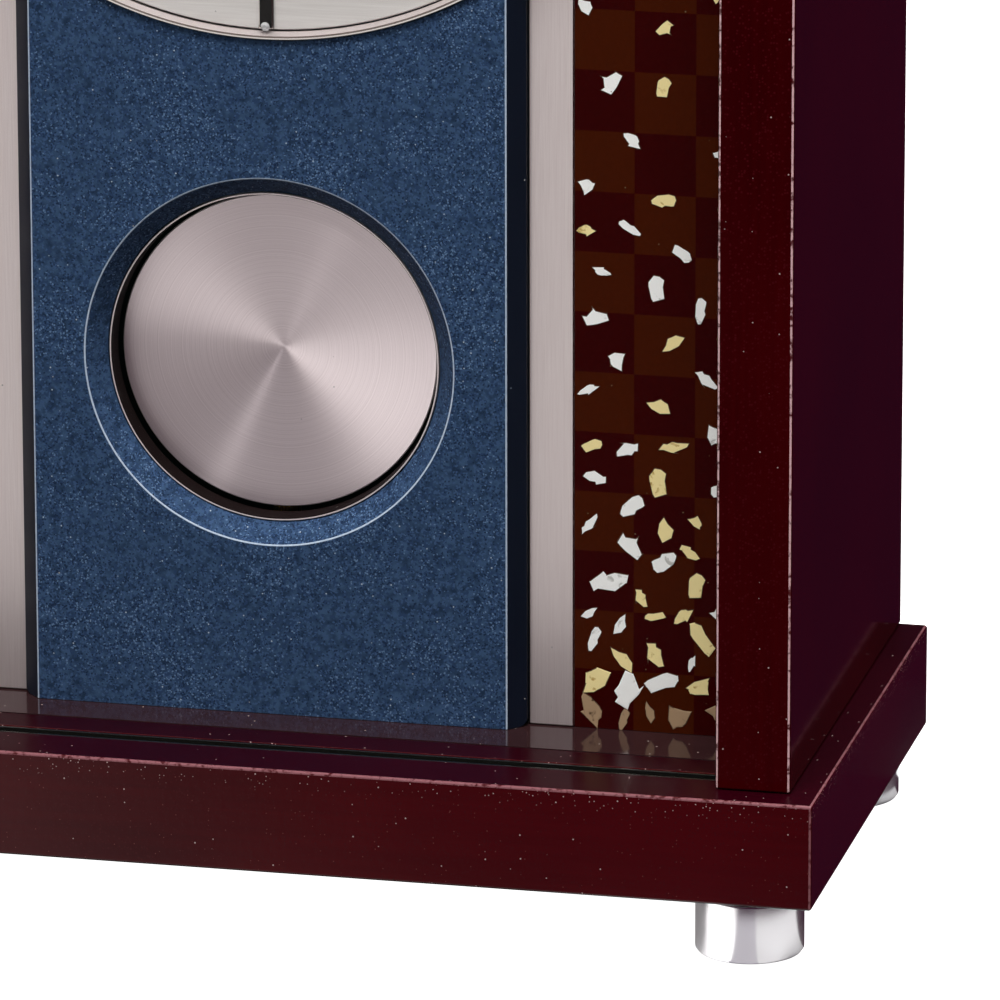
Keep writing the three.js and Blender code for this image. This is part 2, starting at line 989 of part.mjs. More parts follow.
function marker(index) {
  const long = index % (hoursOnDial / 4) === 0;
  const length = long ? quarterMarkerLength : markerLength;
  const outer = dialRadius - markerEdge;
  const half = markerWidth / 2;
  const sunkY = dialFrontY + dialThickness / 2;
  const bevelY = markerFrontY + markerEdge;
  const shape = new THREE.Shape([
    new THREE.Vector2(-half, sunkY),
    new THREE.Vector2(-half, bevelY),
    new THREE.Vector2(-half + markerEdge, markerFrontY),
    new THREE.Vector2(half - markerEdge, markerFrontY),
    new THREE.Vector2(half, bevelY),
    new THREE.Vector2(half, sunkY),
  ]);
  const bar = new THREE.ExtrudeGeometry(shape, { depth: length, bevelEnabled: false });
  bar.translate(0, 0, outer - length);
  return bar.rotateY((index * 2 * Math.PI) / hoursOnDial);
}

function stone(index) {
  const girdleY = markerFrontY - studHeight / 2;
  const sunkY = markerFrontY + markerThickness / 2;
  const radius = dialRadius - markerEdge - studRadius;
  const gem = turnedY(
    [
      [0, studFrontY],
      [studRadius / 2, studFrontY],
      [studRadius, girdleY],
      [studRadius, sunkY],
      [0, sunkY],
    ],
    stoneSides
  );
  return gem.translate(0, 0, radius).rotateY((index * 2 * Math.PI) / hoursOnDial);
}

function dialPlate() {
  const hours = Array.from({ length: hoursOnDial }, (_, index) => index);
  const face = disc(dialRadius, dialFrontY, dialFrontY + dialThickness);
  return join(face, ...hours.map(marker), ...hours.map(stone));
}

add(dial, 'dial_bezel', dialBezel(), polishedSteel);
add(
  dial,
  'dial_backer',
  disc(bezelRadius - bezelWall - fit, backerFrontY, bezelBackY),
  blackPaint
);
add(dial, 'dial_plate', dialPlate(), dialSilver);

// The stack in front of the dial, from the bush to the cap.
const nutFrontY = dialFrontY - seat - nutThickness;
const bushFrontY = nutFrontY - fit;
const hourHandBackY = Math.min(bushFrontY, studFrontY) - fit;
const hourHandFrontY = hourHandBackY - handThickness;
const minuteHandBackY = hourHandFrontY - handSpacing;
const minuteHandFrontY = minuteHandBackY - handThickness;
const minuteShaftFrontY = minuteHandFrontY - capHeight / 2;
const hourPipeRadius = minuteShaftRadius + running + hourPipeWall;
const bushBore = hourPipeRadius + running;

function hand(reach, tail, bore, y0, y1) {
  const half = handWidth / 2;
  const tip = handTipWidth / 2;
  const end = half * handTailShare;
  const shoulder = reach * handShoulderShare;
  const blade = plate(
    [
      new THREE.Vector2(-end, -tail),
      new THREE.Vector2(end, -tail),
      new THREE.Vector2(half, -tail / 2),
      new THREE.Vector2(half, shoulder),
      new THREE.Vector2(tip, reach - handWidth),
      new THREE.Vector2(0, reach),
      new THREE.Vector2(-tip, reach - handWidth),
      new THREE.Vector2(-half, shoulder),
      new THREE.Vector2(-half, -tail / 2),
    ],
    y0,
    y1
  );
  const hub = rodY(handHubRadius, y0, y1, sidesMedium);
  return cut(join(blade, hub), rodY(bore, y0 - overrun, y1 + overrun));
}

const minuteTurn = THREE.MathUtils.degToRad(minuteHandDegrees);
const hourTurn = THREE.MathUtils.degToRad(hourHandDegrees);

const hourHand = hand(
  hourReach,
  hourTail,
  hourPipeRadius + seat,
  hourHandFrontY,
  hourHandBackY
);
const minuteHand = hand(
  minuteReach,
  minuteTail,
  minuteShaftRadius + seat,
  minuteHandFrontY,
  minuteHandBackY
);
add(dial, 'hour_hand', hourHand.rotateY(hourTurn), glossBlack);
add(dial, 'minute_hand', minuteHand.rotateY(minuteTurn), glossBlack);
add(
  dial,
  'hand_cap',
  turnedY(
    [
      [0, minuteShaftFrontY - seat],
      [minuteShaftRadius + seat, minuteShaftFrontY - seat],
      [minuteShaftRadius + seat, minuteHandFrontY - seat],
      [capRadius, minuteHandFrontY - seat],
      [capRadius, minuteHandFrontY - seat - capHeight / 2],
      [capRadius / 2, minuteHandFrontY - seat - capHeight],
      [0, minuteHandFrontY - seat - capHeight],
    ],
    sidesMedium
  ),
  polishedSteel
);

// Movement: a moulded box with a gear bay, a battery bay above it and the pendulum's
// drive below it.
const halfBox = movementWidth / 2;
const halfBay = halfBox - movementWall;
const batteryBayLow = gearBayAbove + movementWall;
const batteryBayHigh = batteryBayLow + 2 * batteryRadius + 2 * fit;
const boxHigh = batteryBayHigh + movementWall;
const driveBayHigh = -gearBayBelow - movementWall;
const boxLow = driveBayHigh - driveBayHeight;

function movementCase() {
  const open = movementBackY + overrun;
  const body = board(
    -halfBox,
    halfBox,
    movementFrontY,
    movementBackY,
    boxLow,
    boxHigh
  );
  const gearBay = box(-halfBay, halfBay, bayFrontY, open, -gearBayBelow, gearBayAbove);
  const batteryBay = box(-halfBay, halfBay, bayFrontY, open, batteryBayLow, batteryBayHigh);
  const driveBay = box(
    -halfBay,
    halfBay,
    bayFrontY,
    open,
    boxLow + movementWall,
    driveBayHigh
  );
  const rebate = box(
    -halfBox - overrun,
    halfBox + overrun,
    coverFrontY - seat,
    open,
    boxLow - overrun,
    gearBayAbove + movementWall / 2
  );
  const slotHalf = hangerWidth / 2 + hangerLength * Math.sin(swing) + windowMargin;
  const slot = box(
    -slotHalf,
    slotHalf,
    bayFrontY,
    open,
    boxLow - overrun,
    boxLow + movementWall + overrun
  );
  const bushHole = rodY(bushRadius + fit, movementFrontY - overrun, bayFrontY + overrun);
  const pinHole = rodY(
    pivotRadius + seat,
    bayFrontY - pinGrip - fit,
    bayFrontY + overrun
  ).translate(0, 0, -pivotDrop);
  return cut(body, gearBay, batteryBay, driveBay, rebate, slot, bushHole, pinHole);
}

const cannonRadius = (cannonTeeth * cannonModule) / 2;
const minuteWheelRadius = (minuteWheelTeeth * cannonModule) / 2;
const gearCentres = cannonRadius + minuteWheelRadius;
const pinionModule = (2 * gearCentres) / (pinionTeeth + hourWheelTeeth);

function movementCover() {
  const body = box(
    -halfBox,
    halfBox,
    coverFrontY,
    movementBackY,
    boxLow,
    gearBayAbove + movementWall / 2 - seat
  );
  const near = coverFrontY - overrun;
  const blind = coverFrontY + pinGrip + fit;
  const knobHole = rodY(settingShaftRadius + running, near, movementBackY + overrun);
  const arborHole = rodY(minuteShaftRadius + running, near, blind);
  const pivotHole = rodY(pivotRadius + seat, near, blind);
  knobHole.translate(gearCentres, 0, 0);
  pivotHole.translate(0, 0, -pivotDrop);
  return cut(body, knobHole, arborHole, pivotHole);
}

add(dial, 'movement_case', movementCase(), mouldedBlack);
add(dial, 'movement_cover', movementCover(), mouldedBlack);
add(
  dial,
  'movement_washer',
  tubeY(
    washerRadius,
    bushRadius + fit,
    boardBackY + seat,
    boardBackY + seat + washerThickness,
    sidesMedium
  ),
  rubberBlack
);

// Threaded bush that clamps the movement to the board, with its hexagonal nut.
const flangeBackY = bayFrontY + seat + bushFlangeThickness;
add(
  dial,
  'shaft_bush',
  turnedY(
    [
      [bushBore, bushFrontY],
      [bushRadius, bushFrontY],
      [bushRadius, bayFrontY + seat],
      [bushFlange, bayFrontY + seat],
      [bushFlange, flangeBackY],
      [bushBore, flangeBackY],
    ],
    sidesMedium
  ),
  brass
);
const nutRadius = nutAcross / 2 / Math.cos(Math.PI / nutSides);
add(
  dial,
  'bush_nut',
  cut(
    rodY(nutRadius, nutFrontY, dialFrontY - seat, nutSides),
    rodY(bushRadius + fit, nutFrontY - overrun, dialFrontY + overrun, sidesMedium)
  ),
  brass
);

// Motion work: the minute arbor's pinion drives the minute wheel, whose pinion drives the
// hour wheel, twelve turns to one.
const hourWheelY = flangeBackY + fit;
const hourWheelBackY = hourWheelY + wheelThickness;
const cannonY = hourWheelBackY + wheelGap;
const cannonBackY = cannonY + pinionThickness;

function minuteArbor() {
  const shaft = rodY(minuteShaftRadius, minuteShaftFrontY, coverFrontY + pinGrip);
  return join(shaft, gear(cannonTeeth, cannonModule, cannonY, cannonBackY));
}

function hourWheel() {
  const wheel = gear(hourWheelTeeth, pinionModule, hourWheelY, hourWheelBackY);
  const pipe = rodY(hourPipeRadius, hourHandFrontY - fit, hourWheelBackY);
  const bore = rodY(
    minuteShaftRadius + running,
    hourHandFrontY - overrun,
    hourWheelBackY + overrun
  );
  return cut(join(wheel, pipe), bore);
}

function minuteWheel() {
  const shaft = rodY(settingShaftRadius, bayFrontY + fit, movementBackY + knobHeight / 2);
  const wheelTurn = Math.PI + Math.PI / minuteWheelTeeth;
  const pinionTurn = Math.PI + Math.PI / pinionTeeth;
  return join(
    shaft,
    gear(minuteWheelTeeth, cannonModule, cannonY, cannonY + wheelThickness, wheelTurn),
    gear(pinionTeeth, pinionModule, hourWheelY, cannonY + seat, pinionTurn)
  );
}

function settingKnob() {
  const y0 = movementBackY + fit;
  const y1 = y0 + knobHeight;
  const ribs = toothedOutline(
    knobRibs,
    knobRadius - knobRibDepth,
    knobRadius,
    toothRootShare,
    toothTipShare,
    0
  );
  const bore = rodY(settingShaftRadius + seat, y0 - overrun, y0 + knobHeight / 2);
  return cut(plate(ribs, y0, y1), bore);
}

add(dial, 'minute_arbor', minuteArbor(), satinSteel);
add(dial, 'hour_wheel', hourWheel(), mouldedWhite);
add(dial, 'minute_wheel', minuteWheel(), mouldedWhite).position.set(gearCentres, 0, 0);
add(dial, 'setting_knob', settingKnob(), mouldedWhite).position.set(gearCentres, 0, 0);

// Stepping motor's coil on its core, beside the gears.
function onCore(radius, length) {
  return rodZ(radius, -length / 2, length / 2);
}

const motorY = (bayFrontY + coverFrontY) / 2;
add(
  dial,
  'motor_coil',
  cut(onCore(coilRadius, coilLength), onCore(coreRadius + seat, coilLength + 2 * overrun)),
  copper
).position.set(-coilOffset, motorY, 0);
add(
  dial,
  'motor_core',
  join(
    onCore(coreRadius, coilLength + 2 * coreOverhang),
    box(
      -coreRadius,
      coilRadius,
      -coreRadius,
      coverFrontY - fit - motorY,
      coilLength / 2 + seat,
      coilLength / 2 + coreOverhang
    ),
    box(
      -coreRadius,
      coilRadius,
      -coreRadius,
      coverFrontY - fit - motorY,
      -coilLength / 2 - coreOverhang,
      -coilLength / 2 - seat
    )
  ),
  satinSteel
).position.set(-coilOffset, motorY, 0);

// Battery, lying across its bay, between two sprung contacts.
const batteryY = bayFrontY + batteryRadius + fit;
const batteryZ = (batteryBayLow + batteryBayHigh) / 2;
const halfBattery = batteryLength / 2;

function battery() {
  return turnedY(
    [
      [0, -halfBattery],
      [batteryRadius, -halfBattery],
      [batteryRadius, halfBattery],
      [batteryNubRadius, halfBattery],
      [batteryNubRadius, halfBattery + batteryNub],
      [0, halfBattery + batteryNub],
    ],
    sidesMedium
  ).rotateZ(-Math.PI / 2);
}

function contact(side, reach) {
  const wallX = halfBay - fit;
  const leaf = box(
    wallX - contactThickness,
    wallX,
    -contactWidth / 2,
    contactWidth / 2,
    -contactWidth / 2,
    contactWidth / 2
  );
  const turn = side > 0 ? 0 : Math.PI;
  const sprung = join(leaf, rodX(contactSpring, reach + fit, wallX));
  return sprung.rotateZ(turn).translate(0, batteryY, batteryZ);
}

add(dial, 'battery', battery(), finish(0x8a6f3a, 0.35, 0.4)).position.set(0, batteryY, batteryZ);
add(dial, 'negative_contact', contact(-1, halfBattery), satinSteel);
add(dial, 'positive_contact', contact(1, halfBattery + batteryNub), satinSteel);

// Pendulum, about its pivot: hanger with magnet, rod, bob and rating nut.
const pendulum = at(0, 0, pivotZ);
const pegZ = -hangerLength;
const rodTopZ = pegZ + rodEyeRadius / 2;
const rodFootZ = -pendulumLength - bobRadius + ratingNutHeight;
const studFootZ = -pendulumLength - bobRadius - ratingNutGap - ratingNutHeight;

add(
  pendulum,
  'pivot_pin',
  rodY(pivotRadius, bayFrontY - pinGrip, coverFrontY + pinGrip),
  satinSteel
);

function hanger() {
  const arm = box(
    -hangerWidth / 2,
    hangerWidth / 2,
    hangerFrontY,
    hangerBackY,
    pegZ - hangerWidth / 2,
    0
  );
  const middleY = (hangerFrontY + hangerBackY) / 2;
  const hub = rodY(hubRadius, middleY - hubLength / 2, middleY + hubLength / 2, sidesMedium);
  const bore = rodY(pivotRadius + running, bayFrontY, movementBackY);
  const peg = rodY(pegRadius, rodFrontY - rodThickness, hangerFrontY + overrun);
  return join(cut(join(arm, hub), bore), peg.translate(0, 0, pegZ));
}

function rod() {
  const strip = box(
    -rodWidth / 2,
    rodWidth / 2,
    rodFrontY,
    rodBackY,
    rodFootZ,
    rodTopZ
  );
  const middleY = (rodFrontY + rodBackY) / 2;
  const foot = rodZ(rodThickness, studFootZ, rodFootZ + studLength).translate(0, middleY, 0);
  const eye = rodY(pegRadius + fit, rodFrontY - overrun, rodBackY + overrun);
  const head = rodY(rodEyeRadius, rodFrontY, rodBackY, sidesMedium).translate(0, 0, pegZ);
  return cut(join(strip, foot, head), eye.translate(0, 0, pegZ));
}

// The bob is a shallow dish, hollow side forward, with a boss that the rod passes behind.
function bob() {
  return turnedY(
    [
      [0, bobFrontY + bobDish],
      [bobRadius, bobFrontY],
      [bobRadius, bobFrontY + bobThickness],
      [bobBossRadius, bobBackY - bobThickness * (bobBossRadius / bobRadius)],
      [bobBossRadius, bobBackY],
      [0, bobBackY],
    ],
    sidesLarge
  );
}

function ratingNut() {
  const ribs = toothedOutline(
    ratingNutRibs,
    ratingNutRadius - knobRibDepth,
    ratingNutRadius,
    toothRootShare,
    toothTipShare,
    0
  );
  const nut = plate(ribs, 0, ratingNutHeight).rotateX(Math.PI / 2);
  const bore = rodZ(rodThickness + fit, -ratingNutHeight * 2, ratingNutHeight * 2);
  return cut(nut, bore);
}

add(pendulum, 'pendulum_hanger', hanger(), mouldedWhite);
add(pendulum, 'pendulum_rod', rod(), satinSteel);
add(pendulum, 'pendulum_bob', bob(), satinSteel).position.set(0, 0, -pendulumLength);
add(pendulum, 'rating_nut', ratingNut(), polishedSteel).position.set(
  0,
  (rodFrontY + rodBackY) / 2,
  studFootZ
);

const magnetFrontY = hangerBackY + seat;
const magnetZ = pegZ + magnetSize;
add(
  pendulum,
  'hanger_magnet',
  box(
    -magnetSize / 2,
    magnetSize / 2,
    magnetFrontY,
    magnetFrontY + magnetThickness,
    magnetZ - magnetSize / 2,
    magnetZ + magnetSize / 2
  ),
  magnetGrey
);
add(
  pendulum,
  'drive_coil',
  tubeY(
    driveCoilRadius,
    driveCoilBore,
    coverFrontY - seat - driveCoilHeight,
    coverFrontY - seat,
    sidesMedium
  ),
  copper
).position.set(0, 0, magnetZ);

export default group;
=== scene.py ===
# %% [markdown]
# # A lacquered table clock with a swinging pendulum
# The clock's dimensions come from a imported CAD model, which this lesson dresses for a
# studio picture. Loading it first gives every node its place, in metres, with the dial
# facing -Y. Each later cell takes one real piece or finish and says why it is made so.

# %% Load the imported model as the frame
import math
import random

import bpy
from mathutils import Matrix, Vector


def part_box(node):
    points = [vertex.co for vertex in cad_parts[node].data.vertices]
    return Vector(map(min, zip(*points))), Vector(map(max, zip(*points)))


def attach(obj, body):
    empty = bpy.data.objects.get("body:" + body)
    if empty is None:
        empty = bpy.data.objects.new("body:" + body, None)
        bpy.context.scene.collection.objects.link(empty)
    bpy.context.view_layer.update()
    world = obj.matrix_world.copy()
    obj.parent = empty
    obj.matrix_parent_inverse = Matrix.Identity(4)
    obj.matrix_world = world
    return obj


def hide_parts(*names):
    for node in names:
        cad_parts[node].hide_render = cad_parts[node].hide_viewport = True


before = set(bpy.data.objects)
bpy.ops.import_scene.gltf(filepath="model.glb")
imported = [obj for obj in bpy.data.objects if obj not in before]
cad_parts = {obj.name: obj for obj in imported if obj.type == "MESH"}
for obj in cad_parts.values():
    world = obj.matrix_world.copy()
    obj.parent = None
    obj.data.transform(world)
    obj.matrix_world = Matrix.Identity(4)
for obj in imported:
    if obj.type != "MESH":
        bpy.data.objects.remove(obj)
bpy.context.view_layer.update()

MM = 0.001

# %% [markdown]
# ## Small helpers for materials
# Paint charts give colours as sRGB hex codes, while a shader wants linear light, so one
# function turns the one into the other. The others add the few kinds of shader node that
# every finish needs, which keeps each finish short enough to read from top to bottom.
# Their sizes are in millimetres.

# %% Material helpers
def hex_colour(code):
    """The linear RGBA of a colour written as #RRGGBB."""
    values = [int(code[i : i + 2], 16) / 255 for i in (1, 3, 5)]
    linear = [v / 12.92 if v <= 0.04045 else ((v + 0.055) / 1.055) ** 2.4 for v in values]
    return (*linear, 1.0)


def add_node(tree, kind, values):
    """A new shader node. A value is a socket to link, an input's value or an attribute."""
    node = tree.nodes.new("ShaderNode" + kind)
    for key, value in values.items():
        if isinstance(value, bpy.types.NodeSocket):
            tree.links.new(value, node.inputs[key])
        elif isinstance(key, int) or key in node.inputs:
            node.inputs[key].default_value = value
        else:
            setattr(node, key, value)
    return node


def repeats(size):
    """How many times a pattern of that size in millimetres fits in a metre."""
    return 1 / (size * MM)


def start_finish(name):
    """An empty material, its node tree and the place on the object in metres."""
    material = bpy.data.materials.new(name)
    material.use_nodes = True
    tree = material.node_tree
    tree.nodes.clear()
    return material, tree, add_node(tree, "TexCoord", {}).outputs["Object"]


def close_finish(tree, values):
    """Ends the finish in a Principled shader with these values."""
    shader = add_node(tree, "BsdfPrincipled", values)
    add_node(tree, "OutputMaterial", {"Surface": shader.outputs[0]})


def blend_colours(tree, factor, first, second):
    """A mix of two colours, each a hex code or a socket, by the factor."""
    first, second = (hex_colour(c) if isinstance(c, str) else c for c in (first, second))
    values = {"data_type": "RGBA", 0: factor, 6: first, 7: second}
    return add_node(tree, "Mix", values).outputs[2]


def noise(tree, place, size, detail, **more):
    """Soft noise from 0 to 1 in grains of that size."""
    values = {"Vector": place, "Scale": repeats(size), "Detail": detail, **more}
    return add_node(tree, "TexNoise", values).outputs[0]


def ramp(tree, value, low, high, least=0, most=1):
    """Carries the value's range from low to high over to the one from least to most."""
    values = {"From Min": low, "From Max": high, "To Min": least, "To Max": most}
    return add_node(tree, "MapRange", {"Value": value, **values}).outputs[0]


def math_of(tree, operation, first, second, clamp=False):
    """The sum, product or comparison of two values, each a socket or a number."""
    values = {"operation": operation, "use_clamp": clamp, 0: first, 1: second}
    return add_node(tree, "Math", values).outputs[0]


def bumps(tree, height, strength, depth):
    """A normal that follows the height, up to that depth."""
    values = {"Height": height, "Strength": strength, "Distance": depth * MM}
    return add_node(tree, "Bump", values).outputs[0]


def scaled(tree, place, scale):
    """The place with its axes scaled, so a pattern is drawn out along a small one."""
    return add_node(tree, "Mapping", {"Vector": place, "Scale": scale}).outputs[0]


def scattered_dots(tree, place, spacing, radius, share):
    """1 in round dots and 0 between: one dot in a share of cells of that spacing."""
    cells = add_node(tree, "TexVoronoi", {"Scale": repeats(spacing), "Vector": place})
    near = ramp(tree, cells.outputs["Distance"], radius / spacing, 0.6 * radius / spacing)
    lots = add_node(tree, "SeparateColor", {"Color": cells.outputs["Color"]})
    chosen = math_of(tree, "LESS_THAN", lots.outputs["Red"], share)
    return math_of(tree, "MULTIPLY", near, chosen)


# %% [markdown]
# ## The lacquer on the wood
# Plinth, top and posts are wood under many coats of dark red lacquer, rubbed down and
# polished. The eye sees a nearly black red, deep and wet, with a faint orange peel left
# by the spray gun, faint streaks along the grain and a few specks of dust. More dust has
# settled along the upper rim of plinth and top. Their level faces are rubbed to a satin,
# and are coloured darker as painted shade against the light from above.

# %% Gloss lacquer on wood
def gloss_lacquer(
    name, deep, bright, along, roughness=0.1, shine=0.22, speck="#40090E", brim=None
):
    """Lacquer with streaks, orange peel and dust, thickest just below the brim."""
    material, tree, place = start_finish(name)
    depth = ramp(tree, noise(tree, place, size=70, detail=3), 0.3, 0.75)
    streaks = noise(tree, scaled(tree, place, along), size=1.6, detail=2)
    streaked = ramp(tree, streaks, 0.35, 0.7, 0, 0.3)
    mottled = math_of(tree, "ADD", depth, streaked, clamp=True)
    coat = blend_colours(tree, mottled, deep, bright)
    speckle = scattered_dots(tree, place, spacing=0.6, radius=0.28, share=0.3)
    coat = blend_colours(tree, speckle, coat, speck)
    if brim:
        fine = scattered_dots(tree, place, spacing=0.9, radius=0.15, share=0.2)
        coat = blend_colours(tree, fine, coat, "#6A3836")
        level = add_node(tree, "SeparateXYZ", {0: place}).outputs["Z"]
        near_brim = ramp(tree, level, brim - 5 * MM, brim - MM)
        crowd = scattered_dots(tree, place, spacing=0.8, radius=0.16, share=0.45)
        settled = math_of(tree, "MULTIPLY", crowd, near_brim)
        coat = blend_colours(tree, settled, coat, "#C8A8A6")
    dust = scattered_dots(tree, place, spacing=1.9, radius=0.21, share=0.2)
    peel = noise(tree, place, size=1.8, detail=1)
    close_finish(tree, {
        "Base Color": blend_colours(tree, dust, coat, "#B49A98"),
        "Roughness": roughness,
        "IOR": 1.5,
        "Specular IOR Level": shine,
        "Normal": bumps(tree, peel, strength=0.06, depth=0.05),
    })
    return material


GRAIN_X, GRAIN_Z = (0.03, 1, 1), (1, 1, 0.03)
lacquer = gloss_lacquer("gloss_lacquer_on_wood", "#2A0001", "#390103", GRAIN_Z)
plinth_lacquer, top_lacquer = (
    gloss_lacquer(
        "gloss_lacquer_on_the_" + board, "#340206", "#46050A", GRAIN_X,
        shine=0.45, brim=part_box(node)[1].z,
    )
    for board, node in (("plinth", "base_plinth"), ("top", "top_board"))
)
# The level faces take a darker copy of the lacquer: painted shade against the light from
# above.
shaded_level_lacquer = gloss_lacquer(
    "satin_lacquer_darkened_as_shade_on_level_faces", "#1A0006", "#240109", GRAIN_X,
    roughness=0.3, shine=0.05, speck="#2C030C",
)

# %% [markdown]
# Along the sharp edges the lacquer catches the light, and the eye sees thin, ragged,
# pinkish lines. Here they are a painted highlight: a pale colour on the narrow faces of the
# rounded edges, broken up by a noise with a steep step.

# %% Painted highlight on lacquer edges
def painted_edge_highlight(name, coverage, pale):
    """A rounded lacquer edge, painted pale as a highlight over about that share of its length.
    """
    material, tree, place = start_finish(name)
    step = 0.6 - 0.3 * coverage
    highlit = ramp(tree, noise(tree, place, size=1.1, detail=4), step, step + 0.14)
    close_finish(tree, {
        "Base Color": blend_colours(tree, highlit, "#42060C", pale),
        "Roughness": 0.3,
        "IOR": 1.5,
    })
    return material


# Painted highlight: pale colour on the rounded lacquer edges, standing in for their glare.
edge_highlight = painted_edge_highlight("lacquer_edge_with_painted_highlight", 0.8, "#D0A8AC")
faint_edge_highlight = painted_edge_highlight("lacquer_edge_with_faint_painted_highlight", 0.85, "#805056")

# %% [markdown]
# ## The speckled stone paint
# The centre panel is sprayed with a navy coat and spattered with fine flecks of pale
# blue and grey, as stone-effect paint is. The eye sees dense specks of about half a
# millimetre over a cloudy navy. Voronoi cells with random tones give the specks, and a
# slow noise lets them thin out here and there.

# %% Speckled stone paint
def stone_paint(name):
    """Navy coat with fine flecks, a little white dust and a rough, matt surface."""
    material, tree, place = start_finish(name)
    drift = ramp(tree, noise(tree, place, size=16, detail=3), 0.3, 0.7, -0.08, 0.08)
    patchy = ramp(tree, noise(tree, place, size=2.2, detail=5), 0.35, 0.65)
    colour = blend_colours(tree, patchy, "#20314A", "#3A5272")
    for size, share, tone in (
        (0.6, 0.25, "#2A3E5E"),
        (0.4, 0.25, "#3A5174"),
        (0.34, 0.12, "#1C2B45"),
        (0.3, 0.04, "#5C7597"),
    ):
        cells = add_node(tree, "TexVoronoi", {"Scale": repeats(size), "Vector": place})
        lots = add_node(tree, "SeparateColor", {"Color": cells.outputs["Color"]})
        limit = math_of(tree, "ADD", drift, share)
        fleck = math_of(tree, "LESS_THAN", lots.outputs["Green"], limit)
        colour = blend_colours(tree, fleck, colour, tone)
    dust = scattered_dots(tree, place, spacing=2.0, radius=0.2, share=0.25)
    grain = noise(tree, place, size=0.5, detail=2)
    close_finish(tree, {
        "Base Color": blend_colours(tree, dust, colour, "#A9B6C6"),
        "Roughness": 0.6,
        "IOR": 1.5,
        "Specular IOR Level": 0.08,
        "Normal": bumps(tree, grain, strength=0.3, depth=0.1),
    })
    return material


stone = stone_paint("speckled_stone_paint")

# %% [markdown]
# The chamfers beside the stone face are masked off and keep the plain navy coat, without
# flecks. That coat is made much darker than the stone's, as painted shade, so they look
# smooth and nearly black, which draws a crisp frame round the panel.

# %% Plain navy chamfer, darkened as painted shade
def plain_navy_darkened_as_shade(name):
    """The navy coat without flecks, satin, with slow changes of depth, darkened as painted
    shade.
    """
    material, tree, place = start_finish(name)
    clouds = noise(tree, scaled(tree, place, (1, 1, 0.2)), size=12, detail=4)
    coat = blend_colours(tree, clouds, "#0A101D", "#131C2E")
    dust = scattered_dots(tree, place, spacing=4, radius=0.2, share=0.2)
    close_finish(tree, {
        "Base Color": blend_colours(tree, dust, coat, "#8C98A5"),
        "Roughness": 0.35,
        "IOR": 1.5,
    })
    return material


navy = plain_navy_darkened_as_shade("plain_navy_paint_darkened_as_shade")

# %% [markdown]
# ## The metals
# A bare metal shows by its reflections alone, and those by how its surface was worked.
# Rolled strips are brushed along their length, and the pendulum disc is turned, which
# leaves fine rings and wedges of light. The bezel's edge is plated and the feet are
# buffed.

# %% Brushed metal
def brushed_metal(name, dark, light, roughness, stretch, bare=1.0):
    """Metal scratched along one axis, bare or under some clear coat."""
    material, tree, place = start_finish(name)
    lines = noise(tree, scaled(tree, place, stretch), size=0.25, detail=3)
    tone = ramp(tree, lines, 0.3, 0.7)
    close_finish(tree, {
        "Base Color": blend_colours(tree, tone, dark, light),
        "Metallic": bare,
        "Roughness": ramp(tree, tone, 0, 1, roughness - 0.05, roughness + 0.07),
        "Normal": bumps(tree, lines, strength=0.15, depth=0.02),
    })
    return material


ALONG_X, ALONG_Z = (0.02, 1, 1), (1, 1, 0.02)
satin_strip = brushed_metal(
    "satin_nickel_strip", "#EEE3E1", "#F8EFED", 0.5, ALONG_Z, bare=0.8
)
# A darker copy of the satin nickel: painted shade for the strips' inner arrises and the
# bezel's land.
shaded_satin_edge = brushed_metal("satin_nickel_darkened_as_shade", "#8B7F78", "#A0958E", 0.45, ALONG_Z)
satin_steel = brushed_metal("satin_steel_rod", "#B4B0AC", "#CBC8C5", 0.4, ALONG_Z)
zinc_plate = brushed_metal("zinc_plated_steel", "#A9AAAB", "#C6C8C9", 0.35, ALONG_X)
brass = brushed_metal("lacquered_brass", "#B08A3C", "#CDA85A", 0.3, ALONG_Z)

# %% [markdown]
# Plated pieces are buffed to a mirror, so only a faint waviness and a little dust break
# the reflection. Without them the eye takes the piece for a computer's chrome.

# %% Polished plate
def polished_metal(name, colour, roughness):
    """Buffed metal with a little haze and dust."""
    material, tree, place = start_finish(name)
    haze = noise(tree, place, size=5, detail=3)
    dust = scattered_dots(tree, place, spacing=3, radius=0.15, share=0.2)
    close_finish(tree, {
        "Base Color": blend_colours(tree, dust, colour, "#B5B0AC"),
        "Metallic": 1.0,
        "Roughness": ramp(tree, haze, 0, 1, roughness, roughness + 0.08),
    })
    return material


polished = polished_metal("polished_nickel_plate", "#E9E6E2", 0.08)
foot_metal = polished_metal("buffed_aluminium_foot", "#F2F1F3", 0.15)

# %% [markdown]
# The pendulum disc is turned on a lathe. Its fine rings spread light across them and
# keep it narrow along them, which draws two bright wedges from the centre. The shader's
# anisotropy does this once its tangent runs round the pendulum's own axis.

# %% Turned pendulum disc
disc_low, disc_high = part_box("pendulum_bob")
disc_centre = (disc_low + disc_high) / 2


